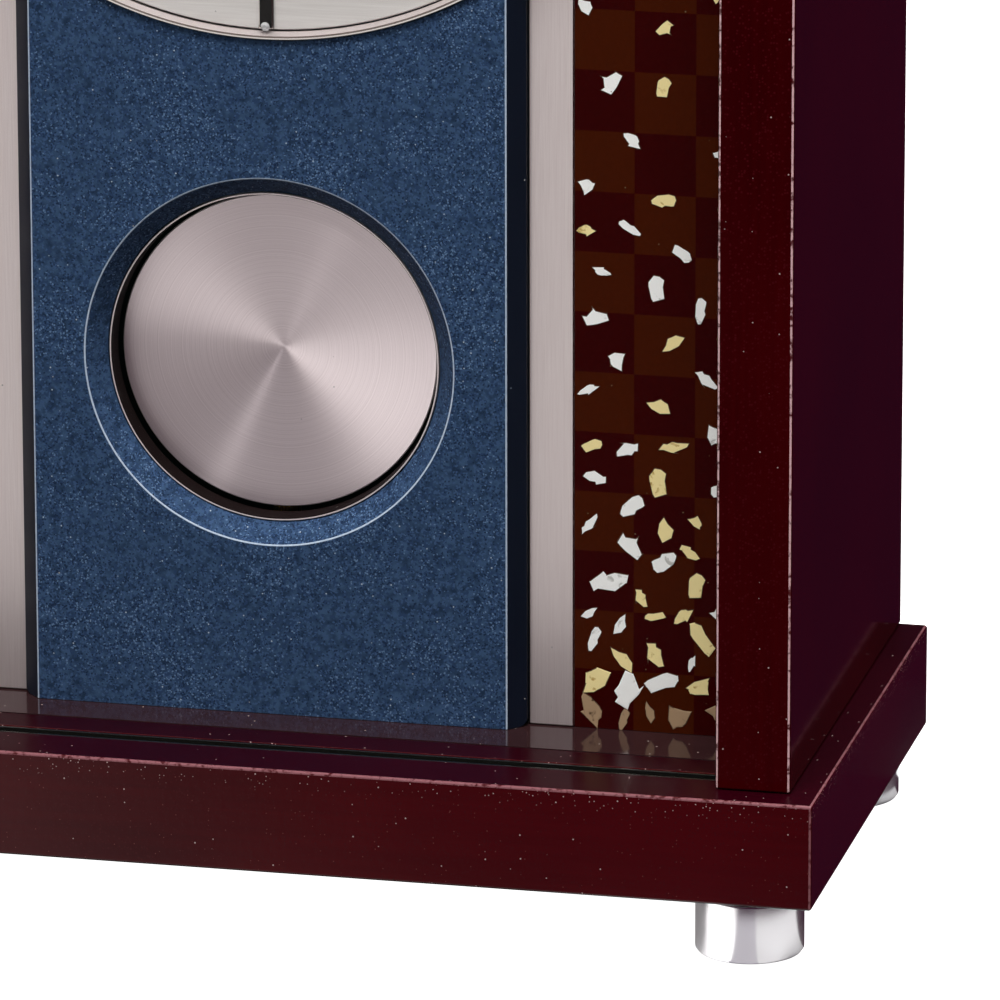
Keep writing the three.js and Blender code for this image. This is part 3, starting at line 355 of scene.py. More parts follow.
def turned_disc(name):
    """Satin metal with concentric tool marks about the disc's own centre."""
    material, tree, place = start_finish(name)
    to_centre = {"Location": (-disc_centre.x, 0, -disc_centre.z), "Vector": place}
    centred = add_node(tree, "Mapping", to_centre).outputs[0]
    flattened = scaled(tree, centred, (1, 0, 1))
    distance = add_node(tree, "VectorMath", {"operation": "LENGTH", 0: flattened})
    ring_noise = {"noise_dimensions": "1D", "Scale": repeats(0.3), "Detail": 3}
    ring_noise["W"] = distance.outputs["Value"]
    rings = add_node(tree, "TexNoise", ring_noise).outputs[0]
    tone = ramp(tree, rings, 0.3, 0.7)
    tangent = add_node(tree, "Tangent", {"direction_type": "RADIAL", "axis": "Y"})
    close_finish(tree, {
        "Base Color": blend_colours(tree, tone, "#EADDDF", "#F8ECEE"),
        "Metallic": 0.85,
        "Roughness": 0.34,
        "Anisotropic": 0.93,
        "Anisotropic Rotation": 0.25,
        "Normal": bumps(tree, rings, strength=0.08, depth=0.03),
        "Tangent": tangent.outputs[0],
    })
    return material


turned_metal = turned_disc("turned_pendulum_metal")
print(f"pendulum disc centred at {disc_centre}")

# %% [markdown]
# ## The chequered inlay
# On each side of the dial a thin panel carries gold-brown and dark red lacquer in a
# chequer of 13 mm squares, an old and common ground. The squares differ only a little,
# so they show as a quiet pattern under the scattered leaf.

# %% Chequered inlay lacquer
SQUARE = 13.1
BEFORE_EDGE = 0.3 * MM
inlay_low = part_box("right_inlay_panel")[0]


def chequered_lacquer(name, first_x, first_z):
    """Squares of brown and dark red lacquer, counted from a corner in metres."""
    material, tree, place = start_finish(name)
    whole_squares = 10 * SQUARE * MM
    corner = (-first_x + whole_squares, 0.5, -first_z + whole_squares)
    counted = add_node(tree, "Mapping", {"Location": corner, "Vector": place}).outputs[0]
    squares = add_node(tree, "TexChecker", {
        "Vector": scaled(tree, counted, (1, 0, 1)),
        "Scale": repeats(SQUARE),
    })
    grain = noise(tree, place, size=0.8, detail=3)
    gold = blend_colours(tree, grain, "#361000", "#451602")
    red = blend_colours(tree, grain, "#2A0000", "#360201")
    ground = blend_colours(tree, squares.outputs["Fac"], red, gold)
    dust = scattered_dots(tree, place, spacing=2.6, radius=0.18, share=0.3)
    close_finish(tree, {
        "Base Color": blend_colours(tree, dust, ground, "#7E6A52"),
        "Roughness": 0.12,
        "IOR": 1.5,
        "Specular IOR Level": 0.25,
    })
    return material


right_chequer = chequered_lacquer(
    "chequered_lacquer_right", inlay_low.x - BEFORE_EDGE, inlay_low.z
)
left_chequer = chequered_lacquer(
    "chequered_lacquer_left", -inlay_low.x + BEFORE_EDGE - SQUARE * MM, inlay_low.z
)

# %% [markdown]
# Scraps of silver and gold leaf are pressed into the wet lacquer. Leaf is beaten so thin
# that it crinkles, so each scrap glints unevenly; its bright sheen is painted into a pale
# colour. Its raised rim is painted dark, as the thin shadow round each scrap.

# %% Metal leaf
def metal_leaf(name, dark, light):
    """Beaten leaf: soft crinkles, its sheen painted into a pale colour, and tarnish in the
    creases.
    """
    material, tree, place = start_finish(name)
    folds = noise(tree, place, size=3.4, detail=4, Distortion=1.2)
    creases = ramp(tree, folds, 0.3, 0.38)
    close_finish(tree, {
        "Base Color": blend_colours(tree, creases, dark, light),
        # Nearly non-metallic, so the leaf's bright sheen is painted into its pale colour.
        "Metallic": 0.05,
        "Roughness": 0.45,
        "Normal": bumps(tree, folds, strength=0.3, depth=0.25),
    })
    return material


silver_leaf = metal_leaf("silver_leaf", "#C4C4C0", "#FDFEFC")
gold_leaf = metal_leaf("pale_gold_leaf", "#C0A058", "#F8E6A6")
tarnished_leaf = metal_leaf("tarnished_leaf", "#4A341F", "#A88C6E")
# Painted shadow: a dark colour for the rim round each scrap.
leaf_rim_painted_shadow = metal_leaf("leaf_rim_painted_as_shadow", "#1E130C", "#4A3426")

# %% [markdown]
# ## The dial's finishes
# The face is aluminium brushed straight across and clear-coated, so it is a light,
# quiet grey. Bars and hands are stoved black enamel, and a small cut stone of clear
# crystal closes each bar.

# %% Dial finishes
def brushed_face(name):
    """Fine brushing straight across, under a clear coat on light silver-grey."""
    material, tree, place = start_finish(name)
    lines = noise(tree, scaled(tree, place, (0.03, 1, 1)), size=0.4, detail=3)
    tone = ramp(tree, lines, 0.3, 0.7)
    close_finish(tree, {
        "Base Color": blend_colours(tree, tone, "#DDD9D6", "#E8E5E2"),
        "Metallic": 0.35,
        "Roughness": 0.5,
        "Coat Weight": 0.15,
        "Coat Roughness": 0.15,
    })
    return material


def smooth_paint(name, dark, light, roughness, grain, dust_share, shine=0.5):
    """Paint or moulded plastic: a fine grain in tone and surface, and some dust."""
    material, tree, place = start_finish(name)
    texture = noise(tree, place, size=grain, detail=2)
    coat = blend_colours(tree, texture, dark, light)
    dust = scattered_dots(tree, place, spacing=3.2, radius=0.17, share=dust_share)
    close_finish(tree, {
        "Base Color": blend_colours(tree, dust, coat, "#A9A4A0"),
        "Roughness": roughness,
        "IOR": 1.5,
        "Specular IOR Level": shine,
        "Normal": bumps(tree, texture, strength=0.1, depth=0.04),
    })
    return material


def cut_crystal(name):
    """Clear lead glass: bright facets, a high index and faint inclusions."""
    material, tree, place = start_finish(name)
    veil = noise(tree, place, size=0.6, detail=2)
    close_finish(tree, {
        "Base Color": blend_colours(tree, veil, "#F4F7FA", "#FFFFFF"),
        "Roughness": 0.02,
        "IOR": 1.65,
        "Transmission Weight": 0.6,
    })
    return material


silver_face = brushed_face("brushed_silver_dial")
enamel = smooth_paint("black_stoved_enamel", "#0C0B0A", "#1A1917", 0.22, 0.7, 0.05)
crystal = cut_crystal("cut_crystal")

# %% [markdown]
# ## Glass, black plate, boards and plastics
# The front is a plain float-glass pane, nearly unseen but for specks of dust. The floor
# of the case is a black plate polished like a mirror. Out of sight, boards are matt
# black, the movement is moulded plastic, and the coils are enamelled copper wire.

# %% Glass and black plate
def float_glass(name):
    """A clear pane: almost no colour of its own, some dust, a slight green."""
    material, tree, place = start_finish(name)
    dust = scattered_dots(tree, place, spacing=6, radius=0.2, share=0.25)
    close_finish(tree, {
        "Base Color": blend_colours(tree, dust, "#20302C", "#E8E6E2"),
        "Roughness": 0.03,
        "IOR": 1.52,
        "Alpha": ramp(tree, dust, 0, 1, 0.015, 0.5),
    })
    return material


def mirror_black(name):
    """Black plate polished to a mirror, with dust lying on it."""
    material, tree, place = start_finish(name)
    film = blend_colours(tree, noise(tree, place, size=9, detail=3), "#2A181A", "#342022")
    dust = scattered_dots(tree, place, spacing=2.4, radius=0.24, share=0.45)
    close_finish(tree, {
        "Base Color": blend_colours(tree, dust, film, "#A89C94"),
        "Roughness": ramp(tree, dust, 0, 1, 0.1, 0.5),
        "IOR": 1.6,
    })
    return material


glass = float_glass("float_glass")
black_mirror = mirror_black("polished_black_plate")

# %% Paints, plastics, rubber and magnets
bore_black = smooth_paint("matt_black_bore", "#0E0808", "#1A1010", 0.7, 0.8, 0.1, 0.1)
# Painted highlight: a pale blue for the hair-thin arris of the stone face.
stone_arris_highlight = smooth_paint(
    "painted_highlight_on_the_stone_arris", "#8CA2C0", "#D0DCEA", 0.4, 0.5, 0.1
)
black_board = smooth_paint("matt_black_painted_board", "#0E0D0D", "#1C1A1A", 0.6, 1.2, 0.15)
black_plastic = smooth_paint("moulded_black_plastic", "#15161A", "#22242A", 0.45, 0.6, 0.08)
white_plastic = smooth_paint("moulded_white_plastic", "#D8D4C8", "#E8E5DC", 0.45, 0.6, 0.02)
rubber = smooth_paint("black_rubber", "#101010", "#1F1E1E", 0.8, 0.5, 0.2)
ferrite = smooth_paint("pressed_ferrite", "#35363A", "#4A4B50", 0.55, 0.35, 0.05)
battery_foil = smooth_paint("printed_battery_jacket", "#3A4C5C", "#46596A", 0.3, 3, 0.02)

# %% [markdown]
# A coil is wound from thin enamelled wire, so it shows a fine, even thread of copper. The
# bands of a wave texture, one per turn of a 0.3 mm wire, give that thread.

# %% Enamelled copper wire
BANDS_PER_REPEAT = 20


def copper_wire(name, direction):
    """Close turns of thin wire, with their bands across that axis."""
    material, tree, place = start_finish(name)
    turns = add_node(tree, "TexWave", {
        "wave_type": "BANDS",
        "bands_direction": direction,
        "Scale": repeats(0.3) / BANDS_PER_REPEAT,
        "Vector": place,
    }).outputs["Fac"]
    close_finish(tree, {
        "Base Color": blend_colours(tree, turns, "#6E3210", "#C46F3C"),
        "Metallic": 1.0,
        "Roughness": 0.32,
        "Normal": bumps(tree, turns, strength=0.6, depth=0.1),
    })
    return material


upright_coil = copper_wire("enamelled_copper_wire_upright", "Z")
flat_coil = copper_wire("enamelled_copper_wire_flat", "Y")

# %% [markdown]
# ## Small helpers for shapes
# Blender's operators act on whatever is selected, so each helper first selects one
# object alone. A finished piece keeps its object at the origin with its place in its
# mesh, because patterns on object coordinates then stay where they are.

# %% Shape helpers
def select_only(piece):
    """Selects that object alone and makes it the active one."""
    bpy.ops.object.select_all(action="DESELECT")
    piece.select_set(True)
    bpy.context.view_layer.objects.active = piece


def settle(piece, name):
    """Names a new piece and puts its place, turn and scale into its mesh."""
    piece.name = name
    piece.data.name = name
    select_only(piece)
    bpy.ops.object.transform_apply(location=True, rotation=True, scale=True)
    return piece


def twin_of(piece, name, move):
    """A copy of the piece, moved by that matrix."""
    twin = bpy.data.objects.new(name, piece.data.copy())
    bpy.context.scene.collection.objects.link(twin)
    twin.data.transform(move)
    return twin


def join_all(pieces, name):
    """Joins the pieces into the first of them, under that name."""
    select_only(pieces[0])
    for piece in pieces:
        piece.select_set(True)
    bpy.ops.object.join()
    pieces[0].name = pieces[0].data.name = name
    return pieces[0]


def apply_modifiers(piece):
    """Applies all of a piece's modifiers, in their order."""
    select_only(piece)
    for modifier in list(piece.modifiers):
        bpy.ops.object.modifier_apply(modifier=modifier.name)


def paint(piece, *finishes):
    """Gives the piece these materials, the first on every face that has no other."""
    piece.data.materials.clear()
    for finish in finishes:
        piece.data.materials.append(finish)


def dress(piece, body, slot, *nodes):
    """The piece rides on a body and stands for the CAD nodes. Its slot, a finish's name, is
    not used.
    """
    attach(piece, body)
    if nodes:
        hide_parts(*nodes)


def round_edges(piece, width, segments, angle):
    """Rounds the edges sharper than the angle. Width is in mm."""
    edge = piece.modifiers.new("rounded edge", "BEVEL")
    edge.width = width * MM
    edge.segments = segments
    edge.limit_method = "ANGLE"
    edge.angle_limit = math.radians(angle)
    apply_modifiers(piece)


def smooth(piece, angle=40):
    """Smooth shading between faces that meet at less than the angle."""
    select_only(piece)
    bpy.ops.object.shade_smooth_by_angle(angle=math.radians(angle))
    flat = piece.modifiers.new("flat faces stay flat", "WEIGHTED_NORMAL")
    flat.keep_sharp = True
    apply_modifiers(piece)


# %% [markdown]
# A CAD mesh is exact, but its edges are knife-sharp and its faces are cut into
# triangles. A copy of it is joined up, its flat faces are made whole again, and then its
# edges are rounded as a workshop would leave them.

# %% Finished copies and sizes of CAD nodes
def finished_copy(node, width, segments=2, angle=35, name=None):
    """A copy of a CAD node's mesh with joined faces and rounded edges."""
    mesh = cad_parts[node].data.copy()
    name = name or node + "_finished"
    piece = bpy.data.objects.new(name, mesh)
    mesh.name = name
    bpy.context.scene.collection.objects.link(piece)
    select_only(piece)
    bpy.ops.object.mode_set(mode="EDIT")
    bpy.ops.mesh.select_all(action="SELECT")
    bpy.ops.mesh.remove_doubles(threshold=0.002 * MM)
    bpy.ops.mesh.dissolve_limited(angle_limit=math.radians(0.5))
    bpy.ops.object.mode_set(mode="OBJECT")
    round_edges(piece, width, segments, angle)
    return piece


def slanted(face):
    """Whether a face looks along none of the three axes."""
    return max(abs(c) for c in face.normal) < 0.97


def radius_of(node):
    """Half the width of a round CAD node, in mm."""
    low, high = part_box(node)
    return (high.x - low.x) / 2 / MM


def foot_of(node):
    """Where the axis of an upright CAD node meets the ground."""
    low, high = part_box(node)
    return Vector(((low.x + high.x) / 2, (low.y + high.y) / 2, 0))


# %% [markdown]
# Turned pieces start as half a section. One vertex is extruded from point to point
# along it, and the line is spun round the axis, just as a lathe would make the piece.

# %% Turning a section
def turn(name, centre, section, axis="Y", sides=96, closed=False):
    """Spins a section of (radius, along) points in mm about an axis through centre."""
    along = Vector((0, 1, 0)) if axis == "Y" else Vector((0, 0, 1))
    centre = Vector(centre)
    points = [centre + Vector((r, 0, 0)) * MM + along * a * MM for r, a in section]
    if closed:
        points.append(points[0])
    bpy.ops.object.select_all(action="DESELECT")
    bpy.ops.mesh.primitive_plane_add(size=MM)
    piece = bpy.context.object
    bpy.ops.object.mode_set(mode="EDIT")
    bpy.ops.mesh.select_all(action="SELECT")
    bpy.ops.mesh.merge(type="CENTER")
    bpy.ops.transform.translate(value=points[0])
    for start, end in zip(points, points[1:]):
        bpy.ops.mesh.extrude_region_move(TRANSFORM_OT_translate={"value": end - start})
    bpy.ops.mesh.select_all(action="SELECT")
    bpy.ops.mesh.spin(steps=sides, angle=2 * math.pi, center=centre, axis=along)
    bpy.ops.mesh.select_all(action="SELECT")
    bpy.ops.mesh.remove_doubles(threshold=0.001 * MM)
    bpy.ops.mesh.normals_make_consistent(inside=False)
    bpy.ops.object.mode_set(mode="OBJECT")
    return settle(piece, name)


# %% [markdown]
# ## Plinth, top and posts
# The case is made of boards with crisp, slightly rounded edges. The CAD boards already
# have their grooves and recesses, so finished copies of them are enough. The narrow
# slanted faces along their outer edges take the pale painted highlight, and the level
# faces of plinth and top a duller, darker lacquer, which is painted shade.

# %% Lacquered boards
def on_outer_edge(face, low, high):
    """Whether a face lies within 0.9 mm of two sides of the box, its base left out."""
    place, near = face.center, 0.9 * MM
    beside = min(place.x - low.x, high.x - place.x) < near
    across = min(place.y - low.y, high.y - place.y) < near
    return beside + across + (high.z - place.z < near) > 1


def lacquered_board(node, name, width, coat, edge, top=None):
    """A CAD board in lacquer, painted pale as a highlight along the front or top arris of its
    outer edges, with the top finish on its level faces.
    """
    low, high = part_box(node)
    piece = finished_copy(node, width, name=name)
    paint(piece, coat, edge, top or coat)
    for face in piece.data.polygons:
        up, forward = face.normal.z, -face.normal.y
        # Level faces take the top finish, which for plinth and top is darker as painted shade.
        if up > 0.99:
            face.material_index = 2
        # Narrow arris faces take the pale edge finish, a painted highlight.
        elif 0.75 < max(up, forward) < 0.99 and on_outer_edge(face, low, high):
            face.material_index = 1
    smooth(piece)
    dress(piece, "case", "lacquered_wood", node)


for node, name, coat in (
    ("base_plinth", "plinth_board", plinth_lacquer),
    ("top_board", "top_cap_board", top_lacquer),
):
    lacquered_board(node, name, 0.13, coat, faint_edge_highlight, shaded_level_lacquer)
lacquered_board("left_side_panel", "left_post_board", 0.24, lacquer, edge_highlight)
lacquered_board("right_side_panel", "right_post_board", 0.24, lacquer, edge_highlight)

# %% [markdown]
# ## Feet and pads
# Each foot is a short aluminium cylinder, turned and buffed, with a spigot let into the
# plinth and a rubber pad under it. One is turned, then copied to the other corners.

# %% Buffed feet
def place_copies(piece, nodes, slot):
    """One copy of the piece for each node, moved from the first node's place."""
    for node in nodes[1:]:
        move = Matrix.Translation(foot_of(node) - foot_of(nodes[0]))
        dress(twin_of(piece, node + "_finished", move), "case", slot, node)
    dress(piece, "case", slot, nodes[0])


SHOULDER, SPIGOT_RADIUS = 13.9, 3
feet = [f"foot_{end}_{side}" for end in ("front", "back") for side in ("left", "right")]
radius = radius_of(feet[0])
spigot_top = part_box(feet[0])[1].z / MM
foot = turn(feet[0] + "_finished", foot_of(feet[0]), [
    (0, 0.6), (radius - 1.6, 0.6), (radius - 0.5, 0.9), (radius, 1.6),
    (radius, SHOULDER - 0.7), (radius - 0.25, SHOULDER - 0.2), (radius - 0.6, SHOULDER),
    (SPIGOT_RADIUS, SHOULDER), (SPIGOT_RADIUS, spigot_top), (0, spigot_top),
], axis="Z")
paint(foot, foot_metal)
smooth(foot, 50)
place_copies(foot, feet, "polished_steel")

# %% Rubber pads under the feet
pads = [node.replace("foot_", "foot_pad_") for node in feet]
pad_radius = radius_of(pads[0])
pad_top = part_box(pads[0])[1].z / MM
pad = turn(pads[0] + "_finished", foot_of(pads[0]), [
    (0, 0), (pad_radius - 0.4, 0), (pad_radius, 0.4), (pad_radius, pad_top), (0, pad_top),
], axis="Z", sides=64)
paint(pad, rubber)
smooth(pad, 50)
place_copies(pad, pads, "black_rubber")
print(f"feet of {2 * radius:.1f} mm, pads of {2 * pad_radius:.1f} mm")

# %% [markdown]
# ## The stone panel
# The panel between the strips is a board with chamfered front edges, a funnel round the
# pendulum opening and a shallow round seat for the dial. A stretched cube gets its upright
# front edges chamfered and its corners rounded. Turned plugs then cut the round shapes,
# which leaves them smoother than drawing them in the board would. Last, the sharp rims of
# the front get a hair-thin bevel painted pale, a painted highlight that the eye sees as a
# light line. The chamfers take a darker navy, partly their plain coat and partly painted
# shade.

# %% Stone panel
panel_low, panel_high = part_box("centre_panel")
ring_low, ring_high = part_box("opening_ring")
bezel_low, bezel_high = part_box("dial_bezel")
opening = Vector((0, 0, (ring_low.z + ring_high.z) / 2))
dial = Vector((0, 0, (bezel_low.z + bezel_high.z) / 2))
CHAMFER, PANEL_CORNER = 3.6, 1.6
FUNNEL_DEPTH, FUNNEL_RADIUS = 4.5, 40.2
CLEARANCE, SHAFT_HOLE = 0.3, 4.3
front = panel_low.y / MM
seat_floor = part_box("right_metal_strip")[0].y / MM
ring_radius = radius_of("opening_ring")
bezel_radius = radius_of("dial_bezel")


def combine(piece, other, operation="DIFFERENCE"):
    """Cuts the piece with the other shape, or keeps what they share, and removes it."""
    bite = piece.modifiers.new("cut", "BOOLEAN")
    bite.operation = operation
    bite.solver = "EXACT"
    bite.object = other
    apply_modifiers(piece)
    bpy.data.objects.remove(other)


def box_between(name, low, high):
    """A cube stretched between two corners, still to be shaped."""
    bpy.ops.object.select_all(action="DESELECT")
    low, high = Vector(low), Vector(high)
    bpy.ops.mesh.primitive_cube_add(size=1, location=(low + high) / 2, scale=high - low)
    return settle(bpy.context.object, name)


def bevel_where(piece, chosen, width, segments=1):
    """Bevels the edges whose two ends pass the test. Width is in mm."""
    select_only(piece)
    bpy.ops.object.mode_set(mode="EDIT")
    bpy.ops.mesh.select_mode(type="EDGE")
    bpy.ops.mesh.select_all(action="DESELECT")
    bpy.ops.object.mode_set(mode="OBJECT")
    points = [v.co for v in piece.data.vertices]
    for edge in piece.data.edges:
        edge.select = chosen(*(points[i] for i in edge.vertices))
    bpy.ops.object.mode_set(mode="EDIT")
    bpy.ops.mesh.bevel(offset=width * MM, segments=segments, affect="EDGES")
    bpy.ops.mesh.select_mode(type="VERT")
    bpy.ops.object.mode_set(mode="OBJECT")


panel = box_between("stone_panel", panel_low, panel_high)
in_front = panel_low.y + MM
bevel_where(
    panel, lambda a, b: max(a.y, b.y) < in_front and abs(a.x - b.x) < MM, CHAMFER
)
through = Vector((0, 2 * MM, 0))
outline = box_between("panel_outline", panel_low - through, panel_high + through)
bevel_where(outline, lambda a, b: abs(a.y - b.y) > MM, PANEL_CORNER, 6)
combine(panel, outline, "INTERSECT")
before, back = front - 2, panel_high.y / MM + 1
funnel_bore = ring_radius + CLEARANCE
funnel_slope = (FUNNEL_RADIUS - funnel_bore) / FUNNEL_DEPTH
combine(panel, turn("funnel_plug", opening, [
    (0, before), (FUNNEL_RADIUS + 2 * funnel_slope, before),
    (funnel_bore, front + FUNNEL_DEPTH), (funnel_bore, back), (0, back),
], sides=192))
seat_radius = bezel_radius + CLEARANCE
combine(panel, turn("dial_plug", dial, [
    (0, before), (seat_radius, before), (seat_radius, seat_floor), (0, seat_floor),
], sides=240))
combine(panel, turn("bush_plug", dial, [
    (0, front), (SHAFT_HOLE, front), (SHAFT_HOLE, back), (0, back),
], sides=48))


def on_front_rim(point):
    """Which sharp rim of the stone face a point lies on: funnel 1, sides 2, bottom 3."""
    hair = 0.01 * MM
    if point.y > panel_low.y + hair:
        return 0
    from_opening = math.hypot(point.x, point.z - opening.z) / MM
    if abs(from_opening - FUNNEL_RADIUS) < 0.3:
        return 1
    if abs(abs(point.x) - panel_high.x + CHAMFER * MM) < hair:
        return 2
    return 3 if point.z < panel_low.z + hair else 0


bevel_where(panel, lambda a, b: 0 < on_front_rim(a) == on_front_rim(b), 0.2)
paint(panel, stone, navy, stone_arris_highlight)
for face in panel.data.polygons:
    beside = abs(face.center.x) > panel_high.x - 4 * MM
    # Rim bevels take the pale blue, a painted highlight.
    if 0.72 < -face.normal.y < 0.99 and face.center.y < panel_low.y + 0.3 * MM:
        face.material_index = 2
    # Chamfers take the darker navy: a plain coat, partly painted shade.
    elif beside and abs(face.normal.x) > 0.35:
        face.material_index = 1
smooth(panel, 25)
dress(panel, "case", "blue_stone_finish", "centre_panel")
highlit_faces = sum(face.material_index == 2 for face in panel.data.polygons)
print(f"stone panel with {len(panel.data.polygons)} faces, {highlit_faces} of them worn")

# %% [markdown]
# ## Rings and bezel
# A thin satin ring lines the opening, and the faces of its bore are coloured near-black.
# The dial's bezel has a polished edge, a narrow land painted darker as shade and a steep
# satin slope down to the face, so its edge shows as a fine double line.

# %% Opening ring
ring_front, ring_back = ring_low.y / MM, ring_high.y / MM
ring = turn("opening_ring_turned", opening, [
    (ring_radius, ring_front + 0.1), (ring_radius - 0.1, ring_front),
    (ring_radius - 0.35, ring_front), (ring_radius - 0.5, ring_front + 0.2),
    (ring_radius - 0.8, ring_back), (ring_radius, ring_back),
], sides=192, closed=True)
paint(ring, satin_strip, bore_black)
for face in ring.data.polygons:
    inward = (opening - face.center).dot(face.normal) > 0
    if inward and abs(face.normal.y) < 0.9:
        face.material_index = 1
smooth(ring, 30)
dress(ring, "case", "polished_steel", "opening_ring")

# %% Dial bezel
edge_in, land_in, slope_in = (bezel_radius - step for step in (0.5, 0.9, 1.6))
bezel_back_in = bezel_radius - 1.4
bezel_front, bezel_back = bezel_low.y / MM, bezel_high.y / MM
face_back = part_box("dial_plate")[1].y / MM
bezel = turn("dial_bezel_turned", dial, [
    (bezel_back_in, bezel_back), (bezel_radius, bezel_back),
    (bezel_radius, bezel_front + 0.5), (bezel_radius - 0.15, bezel_front + 0.15),
    (edge_in, bezel_front), (land_in, bezel_front), (slope_in, bezel_front + 1.6),
    (slope_in, face_back), (bezel_back_in, face_back),
], sides=240, closed=True)
paint(bezel, polished, satin_strip, shaded_satin_edge)
for face in bezel.data.polygons:
    reach = math.hypot(face.center.x, face.center.z - dial.z) / MM
    # The land takes the darker nickel, painted shade.
    if land_in < reach < edge_in and face.normal.y < -0.9:
        face.material_index = 2
    elif slope_in < reach < land_in and face.normal.y < -0.2:
        face.material_index = 1
smooth(bezel, 30)
dress(bezel, "case", "polished_steel", "dial_bezel")

# %% [markdown]
# ## Dial face, bars and stones
# The bars are thin enamelled strips glued to the face, longer at the quarters, each under
# a faceted stone. One bar and one stone are modelled at twelve o'clock and copied round
# the dial. The CAD has face and bars as one plate, whose box ends at the bars, so the
# face's own front is a value here.

# %% Dial face
FACE_GAP = 0.25
FACE_FRONT = -27.8
face_radius = slope_in - FACE_GAP
face_disc = turn("dial_face", dial, [
    (SHAFT_HOLE, FACE_FRONT), (face_radius - 0.25, FACE_FRONT),
    (face_radius, FACE_FRONT + 0.25), (face_radius, face_back), (SHAFT_HOLE, face_back),
], sides=192, closed=True)
paint(face_disc, silver_face, satin_strip)
for face in face_disc.data.polygons:
    if -0.9 < face.normal.y < -0.3:
        face.material_index = 1
smooth(face_disc, 30)
dress(face_disc, "case", "silver_dial", "dial_plate")

# %% Bars and stones
BAR_WIDTH, BAR_THICKNESS = 3.2, 0.9
STONE_RADIUS = 1.0
bar_front = FACE_FRONT - BAR_THICKNESS


def bar(name, length):
    """A bar at twelve o'clock: a thin box whose front edges are bevelled."""
    half, top = BAR_WIDTH / 2 * MM, face_radius - 0.3
    piece = box_between(
        name,
        (-half, bar_front * MM, dial.z + (top - length) * MM),
        (half, FACE_FRONT * MM, dial.z + top * MM),
    )
    level = bar_front * MM + 0.1 * MM
    bevel_where(piece, lambda a, b: max(a.y, b.y) < level, 0.3)
    paint(piece, enamel, polished)
    for face in piece.data.polygons:
        if slanted(face) and face.normal.y < -0.3:
            face.material_index = 1
    return piece


def cut_stone(name):
    """A round brilliant seen from above: flat table, crown facets and a setting."""
    girdle = bar_front - 0.35
    seat = Vector((0, 0, dial.z + (face_radius - 0.9) * MM))
    piece = turn(name, seat, [
        (0, girdle - 0.72), (0.5, girdle - 0.72), (STONE_RADIUS, girdle - 0.1),
        (STONE_RADIUS, girdle + 0.1), (0.75, girdle + 0.36), (0, girdle + 0.36),
    ], sides=16)
    paint(piece, crystal, polished)
    for face in piece.data.polygons:
        if abs(face.normal.y) < 0.5:
            face.material_index = 1
    return piece


def round_the_dial(piece, name, hours):
    """Copies the piece to these hours, joins the copies and returns the joined piece."""
    to_dial, from_dial = Matrix.Translation(dial), Matrix.Translation(-dial)
    turns = [Matrix.Rotation(hour * math.tau / 12, 4, "Y") for hour in hours]
    joined = join_all([twin_of(piece, name, to_dial @ t @ from_dial) for t in turns], name)
    bpy.data.objects.remove(piece)
    return joined


for length, name, hours in (
    (22, "quarter_hour_bars", (0, 3, 6, 9)),
    (15, "hour_bars", (1, 2, 4, 5, 7, 8, 10, 11)),
):
    bars = round_the_dial(bar("bar", length), name, hours)
    dress(bars, "case", "gloss_black_paint")
stones = round_the_dial(cut_stone("stone"), "dial_stones", range(12))
dress(stones, "case", "silver_dial")
print(f"12 bars and stones on a face of {2 * face_radius:.1f} mm")

# %% [markdown]
# ## Hands
# The hands are stamped from thin sheet, and their edges are rolled over a little by the
# punch. The cap that holds them is a small polished dome.

# %% Hands and cap
for node, body in (("hour_hand", "hour"), ("minute_hand", "minute")):
    hand = finished_copy(node, 0.15, 2, 40, node + "_stamped")
    paint(hand, enamel)
    smooth(hand, 30)
    dress(hand, body, "gloss_black_paint", node)

cap_radius = radius_of("hand_cap")
cap_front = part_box("hand_cap")[0].y / MM
cap_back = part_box("minute_hand")[0].y / MM - 0.1
dome = [
    (cap_radius * math.sin(t), cap_front + 2.2 * (1 - math.cos(t)))
    for t in (math.radians(9 * step) for step in range(1, 11))
]
cap = turn(
    "hand_cap_dome", dial, [(0, cap_front), *dome, (cap_radius, cap_back), (0, cap_back)]
)
paint(cap, polished)
smooth(cap, 50)
dress(cap, "minute", "polished_steel", "hand_cap")

# %% [markdown]
# ## The pendulum
# The disc is a shallow dish pressed and turned from one sheet. A flat rod hangs it from
# a plastic hanger, and a knurled nut under the disc sets the rate.

# %% Pendulum disc
rim_front, disc_back = disc_low.y / MM, disc_high.y / MM
disc_radius = radius_of("pendulum_bob")
apex = rim_front + 4
dish = turn("pendulum_dish", (0, 0, disc_centre.z), [
    (0, apex), (1.5, apex - 0.03), (3, apex - 0.22),
    (disc_radius - 0.9, rim_front + 0.12), (disc_radius - 0.55, rim_front + 0.02),
    (disc_radius - 0.25, rim_front), (disc_radius - 0.05, rim_front + 0.12),
    (disc_radius, rim_front + 0.35), (disc_radius - 0.2, rim_front + 0.95),
    (7, disc_back - 0.1), (6.6, disc_back), (0, disc_back),
], sides=180)
paint(dish, turned_metal)
smooth(dish, 30)
dress(dish, "pendulum", "turned_metal", "pendulum_bob")

# %% Rod, nut and hanger
for node, finish, slot in (
    ("pendulum_rod", satin_steel, "satin_steel"),
    ("rating_nut", brass, "brass_fittings"),
    ("pendulum_hanger", black_plastic, "black_plastic"),
    ("hanger_magnet", ferrite, "magnet_grey"),
):
    piece = finished_copy(node, 0.12, 2, 40)
    paint(piece, finish)
    smooth(piece)
    dress(piece, "pendulum", slot, node)

